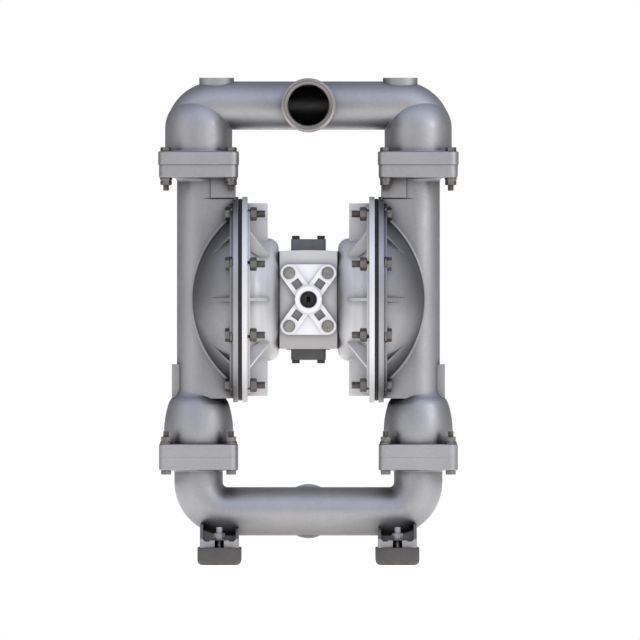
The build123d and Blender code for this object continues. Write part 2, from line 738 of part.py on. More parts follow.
def end_gasket(side):
    """Gasket between the centre block and one air chamber."""
    start, end = sorted([side * block_half_width, side * air_end_x])
    shape = block(start, end, -block_half_depth, block_half_depth, block_bottom_z, block_top_z)
    shape &= bar("x", air_drum_radius - air_shoulder_radius + 0.5, start, end, 0, shaft_z)
    shape -= bar("x", shaft_radius + bushing_wall, start, end, 0, shaft_z)
    shape -= bar("x", pilot_sleeve_radius, start, end, pilot_y, shaft_z)
    shape -= passage_hole(passage_radius, start, end, side)
    for angle in (45, 135, 225, 315):
        shape -= around_shaft(bar("x", m6_clearance, start, end, -chamber_screw_circle, shaft_z), angle)
    return shape


def plate_outline():
    """Two triangles tip to tip with round corners at the screws."""
    lobes = [Pos(sx * plate_screw_x, sz * plate_screw_z) * Circle(plate_lobe_radius) for sx, sz in square]
    centre = Circle(plate_lobe_radius)
    upper = make_hull((lobes[1].edges() + lobes[3].edges() + centre.edges()))
    lower = make_hull((lobes[0].edges() + lobes[2].edges() + centre.edges()))
    return upper + lower


def front_plane(y):
    return Plane(origin=(0, y, shaft_z), x_dir=(1, 0, 0), z_dir=(0, -1, 0))


def exhaust_plate():
    back_y = -block_half_depth - gasket_thickness
    length = math.hypot(plate_screw_x, plate_screw_z)
    angle = math.degrees(math.atan2(plate_screw_z, plate_screw_x))
    arm = SlotCenterToCenter(2 * length, 2 * plate_lobe_radius - 0.2)
    arms = Rot(0, 0, angle) * arm + Rot(0, 0, -angle) * arm
    plate = extrude(front_plane(back_y) * plate_outline(), plate_web)
    plate += extrude(front_plane(back_y) * arms, plate_arm)
    plate += extrude(front_plane(back_y) * Circle(plate_boss_radius), plate_boss_length)
    for sx, sz in square:
        tilt = angle if sx == sz else -angle
        pocket = Pos(sx * plate_pocket_x, sz * plate_pocket_z) * Rot(0, 0, tilt) * Rectangle(
            plate_pocket, plate_pocket)
        plate -= extrude(front_plane(back_y) * pocket, plate_arm + 1)
        x = sx * plate_screw_x
        z = shaft_z + sz * plate_screw_z
        plate -= bar("y", m8_clearance, back_y - plate_arm - 1, back_y + 1, x, z)
        plate -= bar("y", plate_screw_head_radius + plate_screw_ring, back_y - plate_arm - 1,
                     back_y - plate_arm + plate_screw_recess, x, z)
    return plate - bar("y", exhaust_radius, back_y - plate_boss_length - 1, back_y + 1, 0, shaft_z)


def plate_gasket():
    face_y = -block_half_depth
    shape = extrude(front_plane(face_y) * plate_outline(), gasket_thickness)
    shape += extrude(front_plane(face_y) * Circle(plate_boss_radius), gasket_thickness)
    shape -= bar("y", exhaust_radius, face_y - gasket_thickness - 1, face_y + 1, 0, shaft_z)
    for sx, sz in square:
        shape -= bar("y", m8_clearance, face_y - gasket_thickness - 1, face_y + 1,
                     sx * plate_screw_x, shaft_z + sz * plate_screw_z)
    return shape


def plate_screws():
    seat_y = -block_half_depth - gasket_thickness - plate_arm + plate_screw_recess
    screws = []
    for sx, sz in square:
        x = sx * plate_screw_x
        z = shaft_z + sz * plate_screw_z
        head = bar("y", plate_screw_head_radius, seat_y - plate_screw_head_height, seat_y, x, z)
        head = chamfer(head.edges().group_by(Axis.Y)[0], 0.8)
        screws.append(head + bar("y", m8_radius, seat_y, -block_half_depth + plate_screw_reach, x, z))
    return screws


def valve_ports(start, end):
    """The three air ways between the valve and the centre block."""
    heights = (-passage_height, exhaust_height, passage_height)
    return [bar("y", passage_radius, start, end, 0, shaft_z + height) for height in heights]


def valve_gasket():
    shape = block(-valve_half_width, valve_half_width, block_half_depth, valve_face_y,
                  block_bottom_z, valve_top_z)
    shape -= valve_ports(block_half_depth - 1, valve_face_y + 1)
    for sx, sz in square:
        shape -= bar("y", m6_clearance, block_half_depth - 1, valve_face_y + 1,
                     sx * valve_screw_x, shaft_z + sz * valve_screw_z)
    return shape


def air_valve_body():
    half = valve_half_width
    outline = RectangleRounded(2 * half, valve_depth, valve_corner)
    centre_y = valve_face_y + valve_depth / 2
    body = Pos(0, centre_y, valve_bottom_z) * extrude(outline, valve_top_z - valve_bottom_z)
    middle_z = (valve_bottom_z + valve_top_z) / 2
    boss_end = valve_back_y + air_boss_length
    body += bar("y", air_boss_radius, spool_y, boss_end, 0, middle_z)
    body -= bar("z", spool_bore_radius, valve_bottom_z - 1, valve_top_z + 1, 0, spool_y)
    body -= bar("y", exhaust_radius, boss_end - air_port_depth, boss_end + 1, 0, middle_z)
    body -= bar("y", passage_radius, spool_y, boss_end, 0, middle_z)
    body -= valve_ports(valve_face_y - 1, spool_y)
    for sx, sz in square:
        z = shaft_z + sz * valve_screw_z
        body -= bar("y", m6_clearance, valve_face_y - 1, valve_back_y + 1, sx * valve_screw_x, z)
    for sx, sy in square:
        for start, end in [(valve_bottom_z - 1, valve_bottom_z + m6_reach),
                           (valve_top_z - m6_reach, valve_top_z + 1)]:
            body -= bar("z", m6_radius, start, end, sx * cap_screw_offset, spool_y + sy * cap_screw_offset)
    return body


def end_cap(inner_z, outer_z):
    """Cover of the valve bore; inner_z is its face on the valve body."""
    back = valve_back_y - cap_front_gap / 2
    front = valve_face_y + cap_front_gap
    outline = RectangleRounded(2 * cap_half_width, back - front, cap_corner)
    low, high = sorted([inner_z, outer_z])
    cap = Pos(0, (front + back) / 2, low) * extrude(outline, high - low)
    sign = 1 if outer_z > inner_z else -1
    ends = sorted([inner_z - sign * cap_plug, inner_z])
    cap += bar("z", spool_bore_radius - spool_fit, ends[0], ends[1], 0, spool_y)
    for sx, sy in square:
        cap -= bar("z", m6_clearance, low - 1, high + 1, sx * cap_screw_offset,
                   spool_y + sy * cap_screw_offset)
    return cap


def cap_screws():
    screws = []
    for inner_z, outer_z in [(valve_top_z, cap_top_z), (valve_bottom_z, cap_bottom_z)]:
        sign = 1 if outer_z > inner_z else -1
        head_ends = sorted([outer_z, outer_z + sign * m6_head])
        shank_ends = sorted([outer_z, inner_z - sign * (m6_reach - 2)])
        for sx, sy in square:
            x = sx * cap_screw_offset
            y = spool_y + sy * cap_screw_offset
            head = bar("z", m6_head_radius, head_ends[0], head_ends[1], x, y)
            screws.append(head + bar("z", m6_radius, shank_ends[0], shank_ends[1], x, y))
    return screws


def valve_screws():
    screws = []
    for sx, sz in square:
        x = sx * valve_screw_x
        z = shaft_z + sz * valve_screw_z
        head = bar("y", m6_head_radius, valve_back_y, valve_back_y + m6_head, x, z)
        screws.append(head + bar("y", m6_radius, block_half_depth - m6_reach + 2, valve_back_y, x, z))
    return screws


def valve_spool():
    bottom = valve_bottom_z + cap_plug + running_gap
    top = valve_top_z - cap_plug - running_gap - spool_travel
    spool = bar("z", spool_groove_radius, bottom, top, 0, spool_y)
    pitch = (top - bottom - spool_land) / 3
    for index in (0, 1, 2, 3):
        start = bottom + index * pitch
        spool += bar("z", spool_bore_radius - spool_fit, start, start + spool_land, 0, spool_y)
    return spool


def pilot_sleeve():
    end = air_end_x
    return tube("x", pilot_sleeve_radius, pilot_radius + shaft_fit, -end, end, pilot_y, shaft_z)


def pilot_spool():
    spool = bar("x", pilot_radius, -pilot_half_length, pilot_half_length, pilot_y, shaft_z)
    for step in (-1.5, -0.5, 0.5, 1.5):
        x = step * pilot_groove_pitch
        spool -= tube("x", pilot_radius + 1, pilot_radius - 1.5, x - pilot_groove / 2, x + pilot_groove / 2,
                      pilot_y, shaft_z)
    return chamfer(spool.edges().group_by(Axis.X)[0] + spool.edges().group_by(Axis.X)[-1], 0.8)


def main_shaft():
    stud_end = outer_hub_end_x - 6
    shaft = bar("x", shaft_radius, -inner_piston_face_x, inner_piston_face_x, 0, shaft_z)
    return shaft + bar("x", shaft_stud_radius, -stud_end, stud_end, 0, shaft_z)


def inner_piston():
    disc = bar("x", inner_piston_radius, inner_piston_face_x, disc_inner_face_x, 0, shaft_z)
    disc = fillet(disc.edges().group_by(Axis.X)[0], piston_edge)
    return disc - bar("x", shaft_stud_radius, inner_piston_face_x, disc_inner_face_x, 0, shaft_z)


def outer_piston():
    def at(x, radius):
        return (x, shaft_z + radius)

    corners = [at(disc_outer_face_x, shaft_stud_radius), at(disc_outer_face_x, outer_piston_radius),
               at(disc_outer_face_x + 3, outer_piston_radius),
               at(outer_piston_face_x, outer_hub_radius + 6),
               at(outer_piston_face_x + 4, outer_hub_radius), at(outer_hub_end_x - 3, outer_hub_radius),
               at(outer_hub_end_x, outer_hub_radius - 3), at(outer_hub_end_x, 0),
               at(outer_hub_end_x - 6, 0), at(outer_hub_end_x - 6, shaft_stud_radius)]
    return about_shaft(upright(Polyline(*corners, close=True)))


def ribbon(points, thickness, bend):
    """Closed strip of even thickness along (x, radius) points, with rounded bends."""
    sides = []
    for offset in (thickness / 2, -thickness / 2):
        corners = []
        for index, (x, radius) in enumerate(points):
            before = points[max(index - 1, 0)]
            here = points[index]
            after = points[min(index + 1, len(points) - 1)]
            first = here if index == 0 else before
            last = here if index == len(points) - 1 else after
            in_angle = math.atan2(here[1] - first[1], here[0] - first[0]) if index else None
            out_angle = math.atan2(last[1] - here[1], last[0] - here[0]) if last is not here else None
            in_angle = out_angle if in_angle is None else in_angle
            out_angle = in_angle if out_angle is None else out_angle
            middle = (in_angle + out_angle) / 2
            scale = offset / math.cos((out_angle - in_angle) / 2)
            corners.append((x - math.sin(middle) * scale, shaft_z + radius + math.cos(middle) * scale))
        sides.append(FilletPolyline(*corners, radius=bend))
    first, second = sides
    return upright(first, second, Line(first @ 0, second @ 0), Line(first @ 1, second @ 1))


def diaphragm():
    rim_x = rim_face_x + diaphragm_thickness / 2
    strip = ribbon([(diaphragm_centre_x, shaft_stud_radius), (diaphragm_centre_x, disc_radius),
                    (roll_x, roll_radius), (rim_x, diaphragm_grip_radius - 3), (rim_x, diaphragm_radius)],
                   diaphragm_thickness, diaphragm_bend)
    shape = about_shaft(strip)
    for angle in bolt_angles:
        hole = bar("x", m10_clearance, rim_face_x - 1, disc_face_x + 1, -chamber_bolt_circle, shaft_z)
        shape -= around_shaft(hole, angle)
    return shape


def shaft_bushings():
    rings = []
    for side in (-1, 1):
        start, end = sorted([side * (block_half_width - bushing_length), side * air_end_x])
        rings.append(tube("x", shaft_radius + bushing_wall, shaft_radius + shaft_fit, start, end, 0, shaft_z))
    return rings


def shaft_seals():
    rings = []
    seal_x = air_end_x + (air_end_wall - shaft_seal_length) / 2
    for side in (-1, 1):
        start, end = sorted([side * seal_x, side * (seal_x + shaft_seal_length)])
        rings.append(tube("x", shaft_radius + shaft_seal_wall, shaft_radius + shaft_fit,
                          start, end, 0, shaft_z))
    return rings


def valve_seats():
    seats = []
    for parting in (lower_parting_z, upper_parting_z):
        seat = tube("z", seat_radius, seat_bore_radius, parting - seat_thickness, parting, leg_x, 0)
        seat -= Pos(leg_x, 0, parting + ball_drop) * Sphere(ball_radius + running_gap)
        seats += [seat, other_side(seat)]
    return seats


def seat_seals():
    rings = []
    for parting in (lower_parting_z, upper_parting_z):
        z = parting - seat_thickness - seal_section_radius
        ring = Pos(leg_x, 0, z) * Torus(seal_circle_radius, seal_section_radius)
        rings += [ring, other_side(ring)]
    return rings


def valve_ball(side, z):
    return Pos(side * leg_x, 0, z) * Sphere(ball_radius)


def chamber_bolt_set(side):
    """Bolts, washers and nuts of one chamber rim."""
    bolts = []
    washers = []
    nuts = []
    seat_x = disc_back_x + 0.5
    head_x = seat_x + m10_washer
    for angle in bolt_angles:
        y = -chamber_bolt_circle
        head = hexagon("x", m10_flats, head_x, head_x + m10_head, y, shaft_z)
        bolt = head + bar("x", m10_radius, head_x - chamber_bolt_length + 0.5, head_x, y, shaft_z)
        washer = tube("x", m10_washer_radius, m10_radius + nut_fit, seat_x, head_x, y, shaft_z)
        nut = hexagon("x", m10_flats, step_back_x - m10_nut, step_back_x, y, shaft_z)
        nut -= bar("x", m10_radius + nut_fit, step_back_x - m10_nut, step_back_x, y, shaft_z)
        for group, shape in [(bolts, bolt), (washers, washer), (nuts, nut)]:
            placed = round_shaft(shape, angle)
            group.append(placed if side > 0 else other_side(placed))
    return bolts, washers, nuts


def flange_bolt_set(parting, head_up):
    """Bolts, washers and nuts of both square flange pairs at one parting."""
    bolts = []
    washers = []
    nuts = []
    sign = 1 if head_up else -1
    head_face = parting + sign * flange_thickness
    nut_face = parting - sign * flange_thickness
    nut_seat = nut_face - sign * m8_washer
    nut_end = nut_seat - sign * m8_nut
    tip = nut_end - sign * flange_bolt_tip

    def span(first, second):
        return sorted([first, second])

    for side in (-1, 1):
        for sx, sy in square:
            x = side * (leg_x + sx * flange_bolt_offset)
            y = sy * flange_bolt_offset
            head = hexagon("z", m8_flats, *span(head_face, head_face + sign * m8_head), x, y)
            bolts.append(head + bar("z", m8_radius, *span(head_face, tip), x, y))
            washers.append(tube("z", m8_washer_radius, m8_radius + nut_fit, *span(nut_face, nut_seat), x, y))
            nut = hexagon("z", m8_flats, *span(nut_seat, nut_end), x, y)
            nuts.append(nut - bar("z", m8_radius + nut_fit, *span(nut_seat, nut_end), x, y))
    return bolts, washers, nuts


def air_chamber_screws():
    screws = []
    for angle in (45, 135, 225, 315):
        y = -chamber_screw_circle
        head = bar("x", m6_head_radius - 0.3, air_inner_x, air_inner_x + m6_head, y, shaft_z)
        screw = head + bar("x", m6_radius, block_half_width - m6_reach + 2, air_inner_x, y, shaft_z)
        screw = around_shaft(screw, angle)
        screws += [screw, other_side(screw)]
    return screws


def foot_places():
    return [(sx * foot_x, sy * foot_y) for sx, sy in square]


def rubber_feet():
    feet = []
    for x, y in foot_places():
        puck = bar("z", foot_radius, 0, foot_height, x, y)
        puck = fillet(puck.edges().group_by(Axis.Z)[0], foot_edge_radius)
        feet.append(puck - bar("z", foot_stud_radius, foot_stud_bottom_z, foot_height, x, y))
    return feet


def foot_studs():
    return [bar("z", foot_stud_radius, foot_stud_bottom_z, foot_stud_top_z, x, y) for x, y in foot_places()]


def foot_nuts():
    seat_z = bracket_top_z + bracket_pad
    nuts = []
    for x, y in foot_places():
        nut = hexagon("z", m8_flats, seat_z + m8_washer, seat_z + m8_washer + m8_nut, x, y)
        nuts.append(nut - bar("z", foot_stud_radius + nut_fit, seat_z, foot_stud_top_z, x, y))
    return nuts


def foot_washers():
    seat_z = bracket_top_z + bracket_pad
    return [tube("z", m10_washer_radius + 0.3, foot_stud_radius + nut_fit, seat_z, seat_z + m8_washer, x, y)
            for x, y in foot_places()]


def save(name, shape):
    """Write one node; a list becomes a group of separate solids."""
    if isinstance(shape, list):
        solids = [solid for item in shape for solid in item.solids()]
    else:
        solids = shape.solids()
    result = solids[0] if len(solids) == 1 else Compound(children=list(solids))
    export_step(result, f"parts/{name}.step")


def build():
    os.makedirs("parts", exist_ok=True)
    save("inlet_manifold", inlet_manifold())
    save("discharge_manifold", discharge_manifold())
    chamber = outer_chamber()
    save("outer_chamber_right", chamber)
    save("outer_chamber_left", other_side(chamber))
    air = air_chamber()
    high_way = passage_hole(passage_radius, air_end_x - 1, air_inner_x + 1, 1)
    low_way = passage_hole(passage_radius, air_end_x - 1, air_inner_x + 1, -1)
    save("air_chamber_right", air - high_way)
    save("air_chamber_left", other_side(air - low_way))
    save("center_block", center_block())
    save("end_gaskets", [end_gasket(-1), end_gasket(1)])
    save("exhaust_plate", exhaust_plate())
    save("plate_gasket", plate_gasket())
    save("plate_screws", plate_screws())
    save("valve_gasket", valve_gasket())
    save("air_valve_body", air_valve_body())
    save("end_cap_top", end_cap(valve_top_z, cap_top_z))
    save("end_cap_bottom", end_cap(valve_bottom_z, cap_bottom_z))
    save("cap_screws", cap_screws())
    save("valve_screws", valve_screws())
    save("valve_spool", valve_spool())
    save("pilot_sleeve", pilot_sleeve())
    save("pilot_spool", pilot_spool())
    save("main_shaft", main_shaft())
    save("shaft_bushings", shaft_bushings())
    save("shaft_seals", shaft_seals())
    save("valve_seats", valve_seats())
    save("seat_seals", seat_seals())
    save("air_chamber_screws", air_chamber_screws())
    save("rubber_feet", rubber_feet())
    save("foot_studs", foot_studs())
    save("foot_nuts", foot_nuts())
    save("foot_washers", foot_washers())
    pistons = [("inner_piston", inner_piston()), ("outer_piston", outer_piston()), ("diaphragm", diaphragm())]
    for name, shape in pistons:
        save(f"{name}_right", shape)
        save(f"{name}_left", other_side(shape))
    for side, word in [(-1, "left"), (1, "right")]:
        save(f"inlet_ball_{word}", valve_ball(side, ball_low_z))
        save(f"discharge_ball_{word}", valve_ball(side, ball_high_z))
        bolts, washers, nuts = chamber_bolt_set(side)
        save(f"chamber_bolts_{word}", bolts)
        save(f"chamber_washers_{word}", washers)
        save(f"chamber_nuts_{word}", nuts)
    for word, parting, head_up in [("inlet", lower_parting_z, False), ("discharge", upper_parting_z, True)]:
        bolts, washers, nuts = flange_bolt_set(parting, head_up)
        save(f"{word}_flange_bolts", bolts)
        save(f"{word}_flange_washers", washers)
        save(f"{word}_flange_nuts", nuts)


build()
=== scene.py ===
"""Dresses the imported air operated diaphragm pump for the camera.

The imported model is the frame. Castings keep their own surface and get cast or machined finishes here. Fasteners,
feet, diaphragms, gaskets and seals are built again with the detail that the solids leave out.
"""

import logging
import math
from collections.abc import Callable, Sequence
from dataclasses import dataclass, replace
from enum import Enum

import bmesh
import bpy
from mathutils import Matrix, Vector


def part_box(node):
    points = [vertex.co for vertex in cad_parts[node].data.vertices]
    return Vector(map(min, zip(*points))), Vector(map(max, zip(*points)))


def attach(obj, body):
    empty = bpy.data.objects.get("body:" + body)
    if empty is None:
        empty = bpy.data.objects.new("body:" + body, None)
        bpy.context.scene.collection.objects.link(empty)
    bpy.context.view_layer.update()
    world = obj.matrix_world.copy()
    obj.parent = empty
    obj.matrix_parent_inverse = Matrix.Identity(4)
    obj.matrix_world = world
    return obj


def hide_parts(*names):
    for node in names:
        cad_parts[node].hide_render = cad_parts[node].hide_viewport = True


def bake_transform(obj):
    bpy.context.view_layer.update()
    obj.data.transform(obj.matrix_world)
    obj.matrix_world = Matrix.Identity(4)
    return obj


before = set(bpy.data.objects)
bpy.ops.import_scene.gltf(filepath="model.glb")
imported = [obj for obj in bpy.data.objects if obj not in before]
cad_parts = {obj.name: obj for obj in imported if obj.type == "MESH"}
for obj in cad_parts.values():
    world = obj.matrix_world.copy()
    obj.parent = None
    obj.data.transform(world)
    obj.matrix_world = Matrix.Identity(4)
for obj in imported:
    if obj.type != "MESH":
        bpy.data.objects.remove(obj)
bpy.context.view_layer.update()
log = logging.getLogger("pump")

MM = 0.001
PATTERN_RANGE = (0.3, 0.7)
SHAFT_Z = 356.9 * MM
RISER_X = 144.4 * MM
INLET_Z = 71.8 * MM
DISCHARGE_Z = 618.1 * MM
Level = float | Callable[[float], float]
Profile = Sequence[tuple[Level, Level]]
Colour = tuple[float, float, float, float]


def grey(red: float, green: float, blue: float) -> Colour:
    """Gives an opaque colour from linear red, green and blue."""
    return (red, green, blue, 1.0)


class Slot(Enum):
    """Material slots of the record."""

    CAST_STAINLESS = "cast_stainless"
    CAST_ALUMINIUM = "cast_aluminium"
    BLOCK_ALUMINIUM = "block_aluminium"
    FASTENER_STEEL = "fastener_steel"
    DARK_CAP = "dark_cap"
    POLISHED_STEEL = "polished_steel"
    BRONZE = "bronze"
    PTFE = "ptfe"
    GASKET = "gasket"
    BLACK_RUBBER = "black_rubber"
    FOOT_RUBBER = "foot_rubber"


class Body(Enum):
    """Bodies of the frame that new pieces ride on."""

    HOUSING = "housing"
    SHAFT = "shaft_assembly"


class Side(Enum):
    """Left and right half of the pump, by the sign of X."""

    LEFT = -1
    RIGHT = 1

    @property
    def word(self) -> str:
        """The side's name as the nodes use it."""
        return self.name.lower()


class Graph:
    """Node tree of a material or of the world, built up by short calls."""

    def __init__(self, owner: bpy.types.Material | bpy.types.World, place: str = "Object") -> None:
        """Starts with an empty tree.

        Args:
            owner: What the tree belongs to.
            place: Which coordinates its patterns use.
        """
        self.owner = owner
        owner.use_nodes = True
        self.tree = owner.node_tree
        self.tree.nodes.clear()
        self.place = self.add("ShaderNodeTexCoord").outputs[place]

    def add(self, kind: str, inputs: dict | None = None, **settings: object) -> bpy.types.Node:
        """Adds a node.

        Args:
            kind: Type name of the node.
            inputs: Socket name or number to a value, or to the socket that feeds it.
            **settings: Properties of the node itself.

        Returns:
            The new node.
        """
        node = self.tree.nodes.new(kind)
        for key, value in settings.items():
            setattr(node, key, value)
        for key, value in (inputs or {}).items():
            if isinstance(value, bpy.types.NodeSocket):
                self.tree.links.new(value, node.inputs[key])
            else:
                node.inputs[key].default_value = value
        return node

    def noise(self, size: float, detail: float = 2.0, stretch: Sequence[float] = (1, 1, 1)) -> bpy.types.NodeSocket:
        """Gives a soft random pattern from 0 to 1, with features of a size in metres and its finer layers."""
        place = self.add("ShaderNodeMapping", {"Vector": self.place, "Scale": tuple(stretch)}).outputs[0]
        return self.add("ShaderNodeTexNoise", {"Vector": place, "Scale": 1 / size, "Detail": detail}).outputs["Fac"]

    def spots(self, size: float, share: float) -> bpy.types.NodeSocket:
        """Gives separate pits, 1 in their middle and 0 between, size metres apart and a share of that wide."""
        cells = self.add("ShaderNodeTexVoronoi", {"Vector": self.place, "Scale": 1 / size}).outputs["Distance"]
        return self.span(cells, 0.0, share, 1.0, 0.0)

    def span(self, value: bpy.types.NodeSocket, low: float, high: float, start: float, end: float
             ) -> bpy.types.NodeSocket:
        """Maps the range low to high onto start to end, clamped."""
        return self.add("ShaderNodeMapRange", {"Value": value, "From Min": low, "From Max": high,
                                               "To Min": start, "To Max": end}).outputs["Result"]

    def spread(self, pattern: bpy.types.NodeSocket, start: float, end: float) -> bpy.types.NodeSocket:
        """Stretches the middle of a soft pattern over start to end."""
        return self.span(pattern, *PATTERN_RANGE, start, end)

    def work(self, operation: str, first: object, second: object = 0.0) -> bpy.types.NodeSocket:
        """Does one sum with one or two numbers."""
        return self.add("ShaderNodeMath", {0: first, 1: second}, operation=operation).outputs[0]

    def vector(self, operation: str, first: object, second: object = (0, 0, 0), output: str = "Vector"
               ) -> bpy.types.NodeSocket:
        """Does one sum with one or two vectors, giving its "Vector" or its "Value"."""
        return self.add("ShaderNodeVectorMath", {0: first, 1: second}, operation=operation).outputs[output]

    def times(self, first: object, second: object) -> bpy.types.NodeSocket:
        """Multiplies two numbers."""
        return self.work("MULTIPLY", first, second)

    def blend(self, share: object, first: object, second: object, mode: str = "MIX") -> bpy.types.NodeSocket:
        """Mixes two colours, with this share of the second."""
        return self.add("ShaderNodeMix", {0: share, 6: first, 7: second}, data_type="RGBA",
                        blend_type=mode).outputs[2]

    def ramp(self, value: bpy.types.NodeSocket, stops: Sequence[tuple[float, Colour]]) -> bpy.types.NodeSocket:
        """Turns a value from 0 to 1 into a colour between stops.

        Args:
            value: The value.
            stops: Places and their colours, in order.

        Returns:
            The colour.
        """
        node = self.add("ShaderNodeValToRGB", {"Fac": value})
        marks = node.color_ramp.elements
        marks[0].position, marks[0].color = stops[0]
        marks[1].position, marks[1].color = stops[-1]
        for position, colour in stops[1:-1]:
            marks.new(position).color = colour
        return node.outputs["Color"]

    def relief(self, height: bpy.types.NodeSocket, depth: float, normal: bpy.types.NodeSocket | None = None
               ) -> bpy.types.NodeSocket:
        """Raises the surface by a pattern.

        Args:
            height: Pattern from 0 to 1.
            depth: Height of the relief, in metres.
            normal: Normal that it starts from.

        Returns:
            The new normal.
        """
        inputs = {"Height": height, "Distance": depth, "Strength": 1.0}
        if normal:
            inputs["Normal"] = normal
        return self.add("ShaderNodeBump", inputs).outputs[0]

    def rounded(self, radius: float) -> bpy.types.NodeSocket:
        """Gives the normal of edges rounded to a radius, in metres."""
        return self.add("ShaderNodeBevel", {"Radius": radius}, samples=4).outputs[0]

    def edges(self, rounded: bpy.types.NodeSocket, sharp: float = 0.80, flat: float = 0.995) -> bpy.types.NodeSocket:
        """Finds edges and corners.

        Args:
            rounded: Normal with rounded edges.
            sharp: How alike both normals are, at most, on a sharp edge.
            flat: How alike they are, at least, on a flat face.

        Returns:
            1 on a sharp edge, 0 on a flat face.
        """
        plain = self.add("ShaderNodeNewGeometry").outputs["Normal"]
        alike = self.vector("DOT_PRODUCT", rounded, plain, "Value")
        return self.span(alike, sharp, flat, 1.0, 0.0)

    def shelter(self, reach: float, share: float, shut: float = 0.25, free: float = 0.95) -> bpy.types.NodeSocket:
        """Gives the share in corners that are closed within a reach in metres, and 0 in the open."""
        light = self.add("ShaderNodeAmbientOcclusion", {"Distance": reach}, samples=6).outputs["AO"]
        return self.span(light, shut, free, share, 0.0)

    def close(self, constants: dict[str, object], linked: dict[str, bpy.types.NodeSocket]) -> bpy.types.Material:
        """Finishes the material with one surface shader.

        Args:
            constants: Shader socket to a fixed value.
            linked: Shader socket to what feeds it.

        Returns:
            The material.
        """
        shader = self.add("ShaderNodeBsdfPrincipled", {**constants, **linked})
        self.add("ShaderNodeOutputMaterial", {"Surface": shader.outputs[0]})
        return self.owner


@dataclass(frozen=True)
class Zone:
    """A round region along one axis of the pump, for what is machined, and for painted shade inside a bore."""

    axis: int
    middle: tuple[float, float, float]
    half_length: float
    outer: float
    inner: float = 0.0

    def mask(self, graph: Graph) -> bpy.types.NodeSocket:
        """Gives 1 inside the region and 0 outside it.

        Args:
            graph: Tree that it is added to.

        Returns:
            The mask.
        """
        place = graph.vector("SUBTRACT", graph.place, self.middle)
        along = graph.add("ShaderNodeSeparateXYZ", {0: place}).outputs[self.axis]
        flat = tuple(0.0 if index == self.axis else 1.0 for index in range(3))
        across = graph.vector("LENGTH", graph.vector("MULTIPLY", place, flat), output="Value")
        inside = graph.work("LESS_THAN", graph.work("ABSOLUTE", along), self.half_length)
        ring = graph.times(graph.work("LESS_THAN", across, self.outer), graph.work("GREATER_THAN", across, self.inner))
        return graph.times(inside, ring)


@dataclass(frozen=True)
class Patch:
    """A soft egg-shaped region, for painted shade laid over part of a casting."""

    middle: tuple[float, float, float]
    radii: tuple[float, float, float]
    share: float
    core: float = 0.2

    def mask(self, graph: Graph) -> bpy.types.NodeSocket:
        """Gives the share in the core, falling to 0 at the outside.

        Args:
            graph: Tree that it is added to.

        Returns:
            The mask.
        """
        place = graph.vector("SUBTRACT", graph.place, self.middle)
        scaled = graph.vector("MULTIPLY", place, tuple(1 / radius for radius in self.radii))
        return graph.span(graph.vector("LENGTH", scaled, output="Value"), self.core, 1.0, self.share, 0.0)


@dataclass(frozen=True)
class Crease:
    """The shade along the line where a dome rises out of its upright riser."""

    riser_radius: float
    near: float
    far: float
    dome_radius: float
    share: float
    dome_fade: float = 14 * MM
    past_riser: float = 26 * MM

    def mask(self, graph: Graph) -> bpy.types.NodeSocket:
        """Gives the share beside the riser, falling to 0 further round the dome.

        Args:
            graph: Tree that it is added to.

        Returns:
            The mask.
        """
        def length(first: bpy.types.NodeSocket, second: bpy.types.NodeSocket) -> bpy.types.NodeSocket:
            """Gives the length of two sides at right angles."""
            squares = [graph.work("POWER", side, 2.0) for side in (first, second)]
            return graph.work("SQRT", graph.work("ADD", *squares))

        place = graph.add("ShaderNodeSeparateXYZ", {0: graph.place}).outputs
        beyond = graph.work("MAXIMUM", graph.work("SUBTRACT", graph.work("ABSOLUTE", place["X"]), RISER_X))
        off = length(beyond, place["Y"])
        out = length(place["Y"], graph.work("SUBTRACT", place["Z"], SHAFT_Z))
        shade = graph.times(graph.span(off, self.near, self.far, self.share, 0.0),
                            graph.work("GREATER_THAN", off, self.riser_radius))
        shade = graph.times(shade, graph.work("LESS_THAN", beyond, self.past_riser))
        return graph.times(shade, graph.span(out, self.dome_radius - self.dome_fade, self.dome_radius, 1.0, 0.0))


